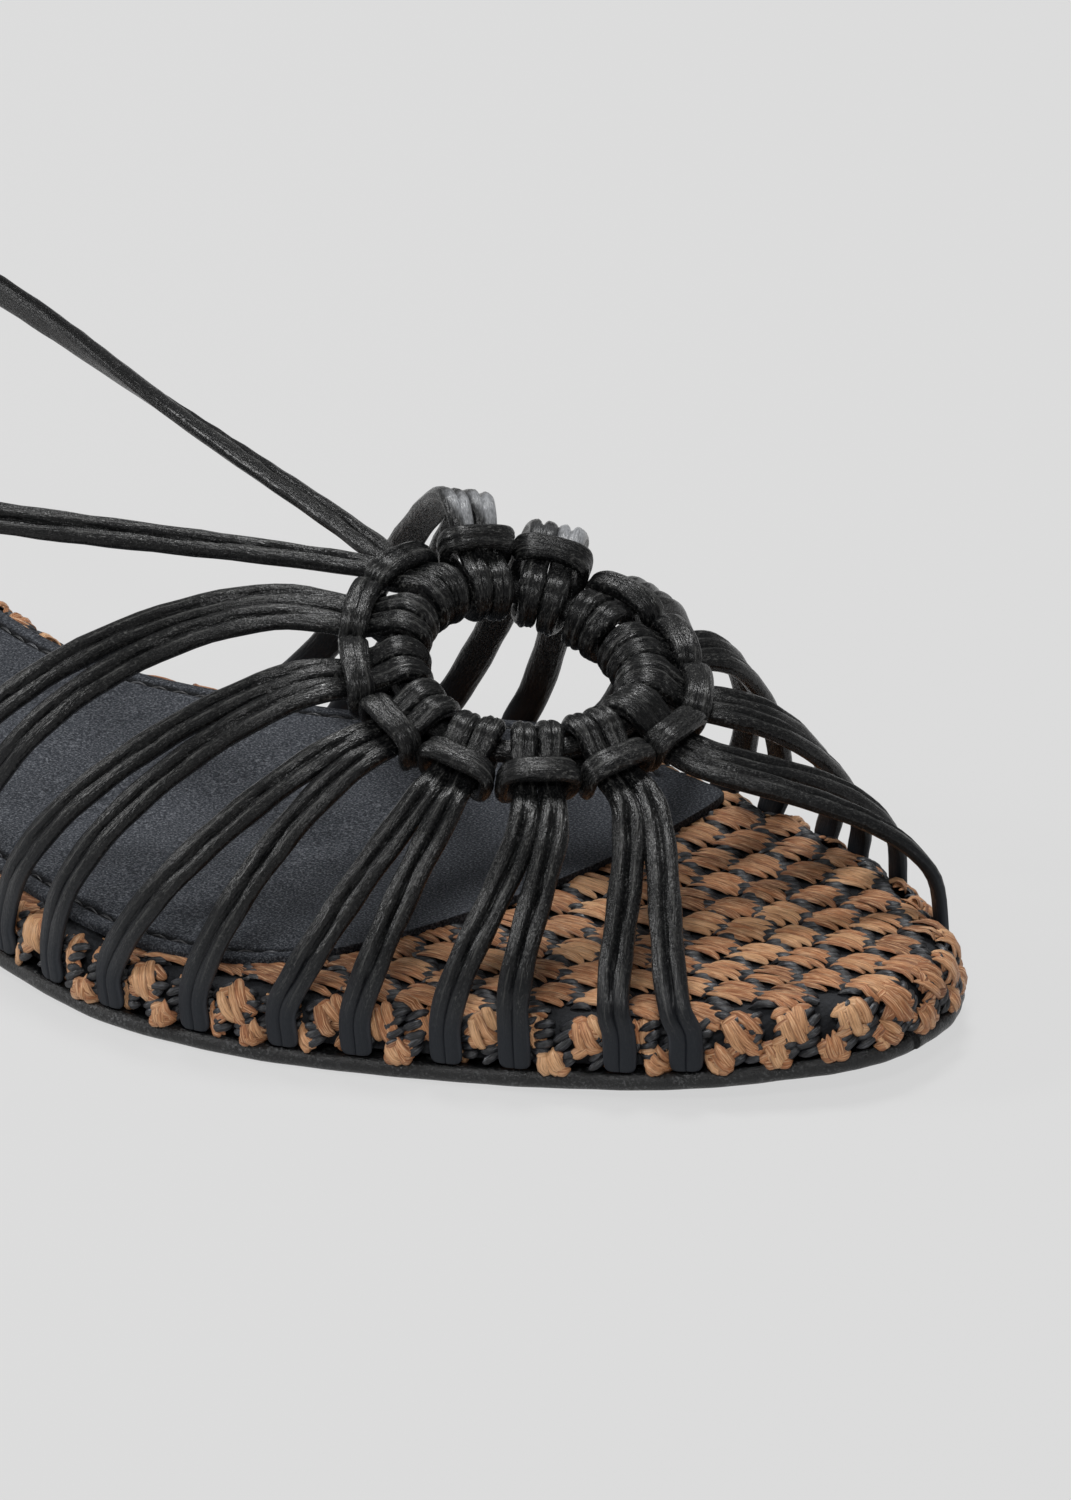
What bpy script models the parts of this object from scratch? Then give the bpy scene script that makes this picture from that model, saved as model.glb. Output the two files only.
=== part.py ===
"""Flat sandal for the right foot: woven footbed, thin outsole, and thirteen laces knotted round a ring.

Lengths are in metres. +X points to the toe, +Y to the inner (medial) side of the foot and +Z up.
The origin lies on the floor plane, under the middle of the heel lift.
"""

import math

import bmesh
import bpy
from mathutils import Vector

# Sole
SOLE_LENGTH = 0.245
BALL_WIDTH = 0.0888
HEEL_CENTRE = 0.028
HEEL_RISE = 0.0042
HEEL_LIFT_LENGTH = 0.054
TOE_SPRING = 0.0032
OUTSOLE_THICKNESS = 0.0022
OUTSOLE_EDGE_ROUND = 0.0007
FOOTBED_THICKNESS = 0.0062
FOOTBED_RIM_ROUND = 0.0030
FOOTBED_LEDGE = 0.0020
SOCK_THICKNESS = 0.0010
SOCK_MARGIN = 0.0024
SOCK_FRONT_FROM_HEEL = 0.1868
SOCK_FRONT_SWEEP = 0.0078
SOCK_FRONT_OFFSET = 0.0150
SOCK_CORNER_SHARPNESS = 7
FIT_GAP = 0.0003

# Ring and knots
KNOTS = 13
RING_RADIUS = 0.0152
RING_CORE_RADIUS = 0.0014
RING_CENTRE_FROM_HEEL = 0.1840
RING_HEIGHT = 0.0373
RING_SADDLE = 0.0012
RING_TILT_DEG = 20.0
RING_ROLL_DEG = 4.0
LACE_WIDTH = 0.0040
LACE_THICKNESS = 0.0022
STRAP_END_WIDTH = 0.0048
STRAP_END_THICKNESS = 0.0015
LEG_SQUEEZE = 0.68
LEG_WIDTH = 0.0030
KNOT_SLACK = 0.0002

# Sling strap round the heel
SLING_HEIGHT = 0.0640
SLING_BACK_FROM_HEEL = 0.0120

# Layout of the curves and how finely they are divided
SOLE_STATIONS = 40
SOCK_STATIONS = 22
SOCK_FRONT_STEPS = 9
HEEL_LIFT_STATIONS = 14
STRAP_STEPS = 7
SLING_STEPS = 3
TIP_ANGLE = 0.05
FLAT_START = 0.70
FLAT_END = 0.75
RISE_RUN = 0.58

# Each row: share of the sole's length from the heel, then the outline's distance from the
# centre line on the outer and inner side, as shares of the ball width.
OUTLINE = (
    (0.000, 0.000, 0.000),
    (0.015, 0.124, 0.124),
    (0.050, 0.221, 0.221),
    (0.120, 0.309, 0.298),
    (0.250, 0.345, 0.323),
    (0.400, 0.369, 0.236),
    (0.520, 0.455, 0.323),
    (0.630, 0.521, 0.479),
    (0.720, 0.494, 0.454),
    (0.800, 0.419, 0.423),
    (0.870, 0.341, 0.361),
    (0.930, 0.256, 0.273),
    (0.970, 0.160, 0.191),
    (0.990, 0.098, 0.117),
    (1.000, 0.000, 0.000),
)

# Each row is a pair of laces: the knot's number counted from the back of the ring, where the
# front and rear straps reach the sole as shares of the length, then as shares of the strap's
# span how far it runs straight out from its knot, and how high it bows over its drop.
OUTER_STRAPS = (
    (6, 0.931, 0.902, 0.20, 0.25),
    (5, 0.853, 0.820, 0.30, 0.40),
    (4, 0.776, 0.739, 0.15, 0.38),
    (3, 0.690, 0.637, 0.20, 0.48),
    (2, 0.592, 0.551, 0.15, 0.58),
    (1, 0.510, 0.469, 0.22, 0.80),
)
INNER_STRAPS = (
    (6, 0.943, 0.886, 0.20, 0.60),
    (5, 0.845, 0.816, 0.35, 0.30),
    (4, 0.771, 0.735, 0.25, 0.22),
    (3, 0.682, 0.633, 0.20, 0.22),
    (2, 0.596, 0.559, 0.12, 0.22),
    (1, 0.518, 0.478, 0.14, 0.30),
)

# These knots on the inner side are turned up about the ring, so that their straps rise before they fall.
KNOT_TURN_DEG = {1: 40.0, 2: 22.0}

# A strap's bulge is a share of its span, and its lean is a share of its slant along the edge.
STRAP_BULGE = 0.09
STRAP_LEAN = 0.35
TANGENT_STEP = 0.02

# Each row: share of the way from the ring back to the heel, sideways share of the ankle's
# half width, and share of the climb, for the sling strap's outer side and inner side.
ANKLE_HALF_WIDTH = 0.0360
SLING_LATERAL = (
    (0.10, 0.21, 0.08),
    (0.30, 0.62, 0.20),
    (0.50, 0.93, 0.34),
    (0.68, 1.00, 0.53),
    (0.84, 0.86, 0.75),
    (0.95, 0.50, 0.94),
)
SLING_MEDIAL = (
    (0.10, 0.10, 0.12),
    (0.30, 0.30, 0.31),
    (0.50, 0.52, 0.50),
    (0.68, 0.66, 0.67),
    (0.84, 0.64, 0.84),
    (0.95, 0.40, 0.96),
)

SHARP_DEG = 50.0
LATERAL, MEDIAL = -1, 1
UP = Vector((0, 0, 1))


def curve_slopes(xs, ys):
    """Slopes of a smooth curve through the points: each is weighted between the steps beside it."""
    runs = [b - a for a, b in zip(xs, xs[1:])]
    steps = [(b - a) / run for a, b, run in zip(ys, ys[1:], runs)]
    slopes = [steps[0]]
    for i in range(1, len(steps)):
        before, after = runs[i - 1], runs[i]
        slopes.append((steps[i - 1] * after + steps[i] * before) / (before + after))
    return slopes + [steps[-1]]


def curve_value(xs, ys, slopes, x):
    """The smooth curve through the points, at x."""
    i = 0
    while i < len(xs) - 2 and x > xs[i + 1]:
        i += 1
    run = xs[i + 1] - xs[i]
    t = (x - xs[i]) / run
    start = (1 + 2 * t) * (1 - t) ** 2 * ys[i] + t * (1 - t) ** 2 * run * slopes[i]
    end = t * t * (3 - 2 * t) * ys[i + 1] + t * t * (t - 1) * run * slopes[i + 1]
    return start + end


def station_angle(share):
    """The angle that stands for a share of the length, so that toe and heel come out round."""
    return math.acos(1 - 2 * min(max(share, 0.0), 1.0))


ANGLES = [station_angle(row[0]) for row in OUTLINE]
SIDE_WIDTHS = {LATERAL: [row[1] for row in OUTLINE], MEDIAL: [row[2] for row in OUTLINE]}
SIDE_SLOPES = {side: curve_slopes(ANGLES, widths) for side, widths in SIDE_WIDTHS.items()}


def outline_point(angle, side):
    """A point of the sole's outline, with X measured from the heel centre."""
    width = curve_value(ANGLES, SIDE_WIDTHS[side], SIDE_SLOPES[side], angle) * BALL_WIDTH
    return Vector((SOLE_LENGTH * (1 - math.cos(angle)) / 2 - HEEL_CENTRE, side * width, 0))


def outline_normal(angle, side):
    """The outward direction of the outline in plan."""
    step = 0.01
    ahead = outline_point(min(angle + step, math.pi), side)
    behind = outline_point(max(angle - step, 0.0), side)
    along = (ahead - behind).normalized()
    return Vector((-side * along.y, side * along.x, 0))


def inset_point(angle, side, inset):
    return outline_point(angle, side) - outline_normal(angle, side) * inset


def ground_clearance(x):
    """Height of the outsole's underside: the heel's rise, a flat tread, then the toe spring."""
    share = (x + HEEL_CENTRE) / SOLE_LENGTH
    back = min(max((FLAT_START - share) / RISE_RUN, 0.0), 1.0)
    front = min(max((share - FLAT_END) / (1 - FLAT_END), 0.0), 1.0)
    return HEEL_RISE * back * back * (3 - 2 * back) + TOE_SPRING * front * front


FOOTBED_BASE = OUTSOLE_THICKNESS + FIT_GAP
FOOTBED_TOP = FOOTBED_BASE + FOOTBED_THICKNESS
SOCK_BASE = FOOTBED_TOP + FIT_GAP


def leather(name, colour, roughness):
    """A plain Principled material."""
    material = bpy.data.materials.new(name)
    material.use_nodes = True
    shader = material.node_tree.nodes["Principled BSDF"]
    shader.inputs["Base Color"].default_value = (*colour, 1)
    shader.inputs["Roughness"].default_value = roughness
    shader.inputs["Metallic"].default_value = 0.0
    return material


def add_object(name, mesh_maker, material):
    """Turns a bmesh into a named, smooth-shaded object with its faces pointing out."""
    bmesh.ops.recalc_face_normals(mesh_maker, faces=mesh_maker.faces)
    mesh = bpy.data.meshes.new(name)
    mesh_maker.to_mesh(mesh)
    mesh_maker.free()
    mesh.shade_smooth()
    mesh.set_sharp_from_angle(angle=math.radians(SHARP_DEG))
    mesh.materials.append(material)
    made = bpy.data.objects.new(name, mesh)
    bpy.context.scene.collection.objects.link(made)
    return made


def loft(sections, closed=False):
    """Joins rings of points into one closed skin. A closed loft runs back into its first ring."""
    maker = bmesh.new()
    rings = [[maker.verts.new(point) for point in section] for section in sections]
    pairs = list(zip(rings, rings[1:])) + ([(rings[-1], rings[0])] if closed else [])
    for ring, following in pairs:
        count = len(ring)
        for i in range(count):
            j = (i + 1) % count
            maker.faces.new((ring[i], ring[j], following[j], following[i]))
    if not closed:
        maker.faces.new(rings[0][::-1])
        maker.faces.new(rings[-1])
    return maker


def sole_angles(first=TIP_ANGLE, last=math.pi - TIP_ANGLE, count=SOLE_STATIONS):
    """Evenly spaced stations, with the ends of the flat tread among them."""
    angles = [first + (last - first) * i / (count - 1) for i in range(count)]
    for share in (FLAT_START, FLAT_END):
        wanted = station_angle(share)
        if first < wanted < last:
            nearest = min(range(1, count - 1), key=lambda i: abs(angles[i] - wanted))
            angles[nearest] = wanted
    return angles


def sole_layer(angles, profile):
    """Sections of a layer of the sole. The profile runs up one side as (inset, height) pairs."""
    sections = []
    for angle in angles:
        ring = []
        for side, steps in ((LATERAL, profile), (MEDIAL, profile[::-1])):
            for inset, height in steps:
                point = inset_point(angle, side, inset)
                point.z = ground_clearance(point.x) + height
                ring.append(point)
        sections.append(ring)
    return sections


def build_outsole():
    edge = OUTSOLE_EDGE_ROUND
    profile = [(edge, 0), (0, edge), (0, OUTSOLE_THICKNESS - edge), (edge, OUTSOLE_THICKNESS)]
    maker = loft(sole_layer(sole_angles(), profile))
    return add_object("outsole", maker, leather("outsole", (0.012, 0.013, 0.015), 0.45))


def build_footbed():
    rim, base, top = FOOTBED_RIM_ROUND, FOOTBED_BASE, FOOTBED_TOP
    profile = [(FOOTBED_LEDGE, base), (FOOTBED_LEDGE, top - rim)]
    for degrees in (30, 60, 90):
        turn = math.radians(degrees)
        inset = FOOTBED_LEDGE + rim * (1 - math.cos(turn))
        profile.append((inset, top - rim + rim * math.sin(turn)))
    maker = loft(sole_layer(sole_angles(), profile))
    return add_object("footbed", maker, leather("footbed", (0.42, 0.23, 0.11), 0.7))


def sock_edge(point, side):
    """Pulls a point of the sock's side in to its bowed front edge, with a rounded corner between them."""
    fall = SOCK_FRONT_SWEEP / (BALL_WIDTH / 2) ** 2
    tip_x = SOCK_FRONT_FROM_HEEL - HEEL_CENTRE
    to_front = math.sqrt((tip_x - point.x) / fall)
    to_side = side * (point.y - SOCK_FRONT_OFFSET)
    if to_side <= 0:
        return point
    power = SOCK_CORNER_SHARPNESS
    reach = (to_front**-power + to_side**-power) ** (-1 / power)
    return Vector((point.x, SOCK_FRONT_OFFSET + side * reach, 0))


def build_sock():
    """The leather sock on the footbed: it follows the rim and ends in a gently bowed front edge."""
    inset = FOOTBED_LEDGE + SOCK_MARGIN
    front_length = 4 * SOCK_FRONT_SWEEP
    front_start = SOCK_FRONT_FROM_HEEL - front_length
    rows = []
    for angle in sole_angles(TIP_ANGLE, station_angle(front_start / SOLE_LENGTH), SOCK_STATIONS):
        rows.append({side: inset_point(angle, side, inset) for side in (LATERAL, MEDIAL)})
    for step in range(1, SOCK_FRONT_STEPS + 1):
        short = front_length * (1 - step / (SOCK_FRONT_STEPS + 0.3)) ** 2
        angle = station_angle((SOCK_FRONT_FROM_HEEL - short) / SOLE_LENGTH)
        row = {side: outline_point(angle, side) for side in (LATERAL, MEDIAL)}
        rows.append({side: row[side] - Vector((0, side * inset, 0)) for side in row})
    sections = []
    for row in rows:
        ring = []
        for side, heights in ((LATERAL, (0, SOCK_THICKNESS)), (MEDIAL, (SOCK_THICKNESS, 0))):
            edge = sock_edge(row[side], side)
            floor = ground_clearance(edge.x) + SOCK_BASE
            ring += [edge + UP * (floor + height) for height in heights]
        sections.append(ring)
    return add_object("insole_sock", loft(sections), leather("insole_sock", (0.03, 0.032, 0.037), 0.55))


def build_heel_lift():
    """The low lift under the heel, cut straight across at its front."""
    end_angle = station_angle(HEEL_LIFT_LENGTH / SOLE_LENGTH)
    sections = []
    for angle in sole_angles(TIP_ANGLE, end_angle, HEEL_LIFT_STATIONS):
        ring = []
        for side in (LATERAL, MEDIAL):
            point = inset_point(angle, side, OUTSOLE_EDGE_ROUND)
            top = ground_clearance(point.x) - FIT_GAP
            heights = (0.0, top) if side == LATERAL else (top, 0.0)
            ring += [Vector((point.x, point.y, height)) for height in heights]
        sections.append(ring)
    return add_object("heel_lift", loft(sections), leather("heel_lift", (0.012, 0.012, 0.013), 0.6))


# The ring's own axes: forward down the instep, across to the inner side, and out of its plane.
TILT, ROLL = math.radians(RING_TILT_DEG), math.radians(RING_ROLL_DEG)
RING_FORWARD = Vector((math.cos(TILT), 0, -math.sin(TILT)))
RING_ACROSS = Vector((0, math.cos(ROLL), math.sin(ROLL)))
RING_OUT = RING_FORWARD.cross(RING_ACROSS).normalized()
RING_ACROSS = RING_OUT.cross(RING_FORWARD).normalized()
RING_CENTRE = Vector((RING_CENTRE_FROM_HEEL - HEEL_CENTRE, 0, RING_HEIGHT))


def knot_angle(number):
    """A knot's angle round the ring from its front, with knots counted from the back."""
    return math.pi - number * 2 * math.pi / KNOTS


def knot_axes(number):
    """The directions outward and along the ring at a knot."""
    angle = knot_angle(number)
    outward = math.cos(angle) * RING_FORWARD + math.sin(angle) * RING_ACROSS
    along = RING_OUT.cross(outward)
    return outward, along


def saddle(angle):
    """The ring droops at its sides, over the instep, and rises at its front and back."""
    return RING_OUT * RING_SADDLE * math.cos(2 * angle)


def pitch(radial):
    """The arc that each knot has at this distance outside the core's centre line."""
    return 2 * math.pi * (RING_RADIUS + radial) / KNOTS


def build_ring_core():
    around, across = 3 * KNOTS, 6
    sections = []
    for i in range(around):
        turn = 2 * math.pi * i / around
        outward = math.cos(turn) * RING_FORWARD + math.sin(turn) * RING_ACROSS
        centre = RING_CENTRE + outward * RING_RADIUS + saddle(turn)
        ring = []
        for j in range(across):
            angle = 2 * math.pi * j / across
            offset = outward * math.cos(angle) + RING_OUT * math.sin(angle)
            ring.append(centre + offset * RING_CORE_RADIUS)
        sections.append(ring)
    maker = loft(sections, closed=True)
    return add_object("ring_core", maker, leather("ring_core", (0.01, 0.01, 0.011), 0.5))


WRAP = RING_CORE_RADIUS + FIT_GAP + LACE_THICKNESS / 2
LEG_THICKNESS = LACE_THICKNESS * LEG_SQUEEZE
BAR_RADIAL = WRAP + LACE_THICKNESS * 1.42
UNDER_BAR_HEIGHT = -0.2 * LACE_THICKNESS
BAR_HEIGHT = UNDER_BAR_HEIGHT + LACE_THICKNESS + FIT_GAP
EXIT_RADIAL = BAR_RADIAL + 1.5 * LACE_THICKNESS


def knot_half():
    """Half of a knot, from its strap's exit to the middle of the bar.

    Each row is (radial, along, height, normal, width, thickness) in the knot's own axes, for the
    half on the positive side. The normal is (radial, along, height) too.
    """
    gap = FIT_GAP
    under_width = pitch(BAR_RADIAL) / 2 - LEG_THICKNESS - 2 * gap
    leg_along = pitch(BAR_RADIAL) / 2 - LEG_THICKNESS / 2 - gap / 2
    exit_along = LACE_WIDTH / 2 + gap
    rows = [
        (EXIT_RADIAL, exit_along, UNDER_BAR_HEIGHT - KNOT_SLACK, (0.05, 0, 1), LACE_WIDTH, LACE_THICKNESS),
        (BAR_RADIAL, under_width / 2 + gap / 2, UNDER_BAR_HEIGHT, (0.1, 0, 1), under_width, LACE_THICKNESS),
    ]
    for degrees in (38, 72, 108, 144, 180, 216, 252, 286):
        turn = math.radians(degrees)
        radial, height = WRAP * math.cos(turn), WRAP * math.sin(turn)
        outer_radial = radial + LACE_THICKNESS / 2 * math.cos(turn)
        share = pitch(min(radial, outer_radial)) / 2 - gap
        width = min(LACE_WIDTH, share - gap / 2)
        normal = (math.cos(turn), 0, math.sin(turn))
        rows.append((radial, share / 2 + gap / 4, height, normal, width, LACE_THICKNESS))
    low, bar = -WRAP - 0.2 * LACE_THICKNESS, BAR_HEIGHT
    rows += [
        (0.55 * BAR_RADIAL, 0.68 * leg_along, low, (0, 0.25, -1), LEG_WIDTH, 0.8 * LACE_THICKNESS),
        (0.84 * BAR_RADIAL, 0.93 * leg_along, 0.62 * low, (-0.2, 1, -0.9), LEG_WIDTH, LEG_THICKNESS),
        (BAR_RADIAL, leg_along, -0.1 * LACE_THICKNESS, (0, 1, 0), LEG_WIDTH, LEG_THICKNESS),
        (BAR_RADIAL, 0.97 * leg_along, 0.68 * bar, (0, 1, 0.35), LEG_WIDTH, LEG_THICKNESS),
        (BAR_RADIAL, 0.66 * leg_along, bar + KNOT_SLACK / 2, (0, 0.45, 1), LEG_WIDTH, 0.85 * LACE_THICKNESS),
        (BAR_RADIAL, 0.0, bar + KNOT_SLACK, (0, 0, 1), LEG_WIDTH, 0.9 * LACE_THICKNESS),
    ]
    return rows


def knot_turn(number):
    """How far a knot is turned up about the ring, in radians."""
    return math.radians(KNOT_TURN_DEG.get(number, 0.0))


def placed_knot_half(number, hand):
    """The half knot in the part's own frame, as (point, normal, width, thickness) rows."""
    outward, along = knot_axes(number)
    cos, sin = math.cos(knot_turn(number)), math.sin(knot_turn(number))
    placed = []
    for radial, sideways, height, normal, width, thickness in knot_half():
        swing = sideways / (RING_RADIUS + radial)
        side_out = outward * math.cos(swing) + hand * along * math.sin(swing)
        side_along = along * math.cos(swing) - hand * outward * math.sin(swing)
        turned_radial = radial * cos - height * sin
        turned_height = radial * sin + height * cos
        centre = RING_CENTRE + saddle(knot_angle(number) + hand * swing)
        point = centre + side_out * (RING_RADIUS + turned_radial) + RING_OUT * turned_height
        turned_out = side_out * cos + RING_OUT * sin
        turned_up = RING_OUT * cos - side_out * sin
        direction = turned_out * normal[0] + hand * side_along * normal[1] + turned_up * normal[2]
        # A knot that is turned up comes nearer the ring's middle, where its arc is shorter.
        squeeze = min((RING_RADIUS + turned_radial) / (RING_RADIUS + radial), 1.0)
        placed.append((point, direction.normalized(), width * squeeze, thickness * squeeze))
    return placed


def bezier(points, t):
    a, b, c, d = points
    s = 1 - t
    return s**3 * a + 3 * s * s * t * b + 3 * s * t * t * c + t**3 * d


def strap_control(start, outward, share, reach, bow, side):
    """The strap's foot on the outsole, the edge's outward direction, and the four control points."""
    angle = station_angle(share)
    edge_out = outline_normal(angle, side)
    stand_off = FOOTBED_LEDGE - FIT_GAP - STRAP_END_THICKNESS / 2
    edge = inset_point(angle, side, stand_off)
    floor = ground_clearance(edge.x)
    foot = edge + UP * (floor + OUTSOLE_THICKNESS + FIT_GAP)
    rim = edge + UP * (floor + FOOTBED_TOP - 0.5 * FOOTBED_RIM_ROUND)
    span = (start - rim).length
    drop = start.z - rim.z
    edge_along = UP.cross(edge_out)
    lean = edge_along * (start - rim).dot(edge_along) * STRAP_LEAN
    over_rim = rim + UP * drop * bow + edge_out * span * STRAP_BULGE + lean
    return foot, edge_out, (start, start + outward * span * reach, over_rim, rim)


def strap_rows(control, foot, edge_out):
    """The strap from the sole up to its knot, as (point, normal, width, thickness) rows."""
    rows = [(foot, edge_out, STRAP_END_WIDTH, STRAP_END_THICKNESS)]
    for i in range(STRAP_STEPS):
        t = 1 - i / STRAP_STEPS
        point = bezier(control, t)
        along = bezier(control, max(t - TANGENT_STEP, 0)) - bezier(control, min(t + TANGENT_STEP, 1))
        facing = RING_OUT * (1 - t) + edge_out * t
        normal = facing - along * (facing.dot(along) / along.length_squared)
        flat = t**3
        width = LACE_WIDTH + (STRAP_END_WIDTH - LACE_WIDTH) * flat
        thickness = LACE_THICKNESS + (STRAP_END_THICKNESS - LACE_THICKNESS) * flat
        rows.append((point, normal.normalized(), width, thickness))
    return rows


# Shares of the width across the lace and of its thickness outward.
LACE_SECTION = ((0.5, 0), (0.27, 0.5), (-0.27, 0.5), (-0.5, 0), (-0.27, -0.5), (0.27, -0.5))


def lace_sections(rows, closed=False):
    """Six-sided sections of a lace that bulges at its middle, square to the way it runs."""
    sections = []
    count = len(rows)
    for i, (point, normal, width, thickness) in enumerate(rows):
        before = rows[i - 1][0] if i or closed else point
        after = rows[(i + 1) % count][0] if i + 1 < count or closed else point
        along = (after - before).normalized()
        out = (normal - along * normal.dot(along)).normalized()
        across = along.cross(out)
        across, out = across * width, out * thickness
        sections.append([point + across * aside + out * high for aside, high in LACE_SECTION])
    return sections


def build_lace(name, side, strap, material):
    """One lace: a strap up from the sole, a knot round the ring's core, and a strap down again."""
    number, front_share, rear_share, reach, bow = strap
    knot_number = number * side
    outward, along = knot_axes(knot_number)
    turn = knot_turn(knot_number)
    exit_way = outward * math.cos(turn) + RING_OUT * math.sin(turn)
    front_hand = 1 if along.x > 0 else -1
    rows = []
    for hand, share in ((front_hand, front_share), (-front_hand, rear_share)):
        half = placed_knot_half(knot_number, hand)
        foot, edge_out, control = strap_control(half[0][0], exit_way, share, reach, bow, side)
        half_rows = strap_rows(control, foot, edge_out) + half
        rows = half_rows if not rows else rows + half_rows[-2::-1]
    return add_object(name, loft(lace_sections(rows)), material)


SLING_BACK = Vector((SLING_BACK_FROM_HEEL - HEEL_CENTRE, 0, SLING_HEIGHT))


def sling_side(start, table, side):
    """The sling strap's points from its knot back to its middle behind the heel."""
    points = []
    for share, sideways, climb in table:
        x = start.x + (SLING_BACK.x - start.x) * share
        y = start.y * (1 - share) + side * sideways * ANKLE_HALF_WIDTH
        z = start.z + (SLING_BACK.z - start.z) * climb
        points.append(Vector((x, y, z)))
    return points


def smooth_through(points):
    """More points on the smooth curve through these points, without the first and last."""
    made = []
    for before, a, b, after in zip(points, points[1:], points[2:], points[3:]):
        for i in range(SLING_STEPS):
            t = i / SLING_STEPS
            made.append(bezier((a, a + (b - before) / 6, b - (after - a) / 6, b), t))
    return made


def build_sling(material):
    """The rear lace: a closed loop hitched to the back of the ring, which passes behind the heel."""
    outward, along = knot_axes(0)
    halves, routes = {}, {}
    for side, table in ((LATERAL, SLING_LATERAL), (MEDIAL, SLING_MEDIAL)):
        hand = side if along.y > 0 else -side
        halves[side] = placed_knot_half(0, hand)
        start = halves[side][0][0]
        routes[side] = [start - outward * LACE_WIDTH, start] + sling_side(start, table, side)
    points = routes[LATERAL] + [SLING_BACK] + routes[MEDIAL][::-1]
    loop = smooth_through(points)
    rows = []
    for index, point in enumerate(loop[1:], 1):
        away = Vector((point.x, point.y * 1.8, 0)).normalized()
        lean = min(1.0, index / 9, (len(loop) - index) / 9)
        normal = (UP * (1 - lean) + away * lean).normalized()
        rows.append((point, normal, LACE_WIDTH, LACE_THICKNESS))
    rows = halves[LATERAL][::-1] + rows + halves[MEDIAL][:-1]
    return add_object("sling_lace", loft(lace_sections(rows, closed=True), closed=True), material)


def build_laces():
    material = leather("lace_leather", (0.014, 0.015, 0.017), 0.4)
    for side, side_name, straps in ((LATERAL, "outer", OUTER_STRAPS), (MEDIAL, "inner", INNER_STRAPS)):
        for place, strap in enumerate(straps, 1):
            build_lace(f"lace_{side_name}_{place}", side, strap, material)
    build_sling(material)


def main():
    for old in list(bpy.data.objects):
        bpy.data.objects.remove(old)
    build_heel_lift()
    build_outsole()
    build_footbed()
    build_sock()
    build_ring_core()
    build_laces()


main()
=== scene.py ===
"""The looks of the flat sandal: creased leather laces, a raffia weave, a stitched sock and a beaded edge.

Lengths are in metres unless a name ends in MM. The solids' own sizes are repeated from part.py.
"""

import math
import random

import bpy
import numpy as np
from mathutils import Matrix, Vector


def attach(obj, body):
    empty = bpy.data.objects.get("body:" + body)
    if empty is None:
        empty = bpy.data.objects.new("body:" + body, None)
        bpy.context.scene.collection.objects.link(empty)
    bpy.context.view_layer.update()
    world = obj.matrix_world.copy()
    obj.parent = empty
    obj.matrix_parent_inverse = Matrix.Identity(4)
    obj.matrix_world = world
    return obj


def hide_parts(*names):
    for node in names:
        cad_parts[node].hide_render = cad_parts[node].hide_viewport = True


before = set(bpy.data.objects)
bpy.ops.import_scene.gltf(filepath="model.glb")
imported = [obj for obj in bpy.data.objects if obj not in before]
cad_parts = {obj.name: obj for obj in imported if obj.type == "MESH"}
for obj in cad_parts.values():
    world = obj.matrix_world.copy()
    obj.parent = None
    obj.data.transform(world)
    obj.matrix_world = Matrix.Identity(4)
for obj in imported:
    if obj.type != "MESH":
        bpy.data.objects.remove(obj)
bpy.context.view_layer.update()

# Sole
SOLE_LENGTH = 0.245
BALL_WIDTH = 0.0888
HEEL_CENTRE = 0.028
HEEL_RISE = 0.0042
HEEL_LIFT_LENGTH = 0.054
TOE_SPRING = 0.0032
OUTSOLE_THICKNESS = 0.0022
FOOTBED_THICKNESS = 0.0062
FOOTBED_RIM_ROUND = 0.0030
FOOTBED_LEDGE = 0.0020
SOCK_THICKNESS = 0.0010
SOCK_MARGIN = 0.0024
SOCK_FRONT_FROM_HEEL = 0.1868
SOCK_FRONT_SWEEP = 0.0078
SOCK_FRONT_OFFSET = 0.0150
SOCK_CORNER_SHARPNESS = 7
FIT_GAP = 0.0003
FOOTBED_BASE = OUTSOLE_THICKNESS + FIT_GAP
FOOTBED_TOP = FOOTBED_BASE + FOOTBED_THICKNESS
SOCK_BASE = FOOTBED_TOP + FIT_GAP

# Ring and knots
KNOTS = 13
RING_RADIUS = 0.0152
RING_CORE_RADIUS = 0.0014
RING_CENTRE_FROM_HEEL = 0.1840
RING_HEIGHT = 0.0373
RING_SADDLE = 0.0012
RING_TILT_DEG = 20.0
RING_ROLL_DEG = 4.0
LACE_WIDTH = 0.0040
LACE_THICKNESS = 0.0022
STRAP_END_THICKNESS = 0.0015
LEG_SQUEEZE = 0.68

# Sling strap round the heel
SLING_HEIGHT = 0.0640
SLING_BACK_FROM_HEEL = 0.0120

TIP_ANGLE = 0.021
FLAT_START = 0.70
FLAT_END = 0.75
RISE_RUN = 0.58

# Share of the length from the heel, then the outer and inner half widths as shares of the ball width.
OUTLINE = (
    (0.000, 0.000, 0.000),
    (0.015, 0.124, 0.124),
    (0.050, 0.221, 0.221),
    (0.120, 0.309, 0.298),
    (0.250, 0.345, 0.323),
    (0.400, 0.369, 0.236),
    (0.520, 0.455, 0.323),
    (0.630, 0.521, 0.479),
    (0.720, 0.494, 0.454),
    (0.800, 0.419, 0.423),
    (0.870, 0.341, 0.361),
    (0.930, 0.256, 0.273),
    (0.970, 0.160, 0.191),
    (0.990, 0.098, 0.117),
    (1.000, 0.000, 0.000),
)

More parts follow.
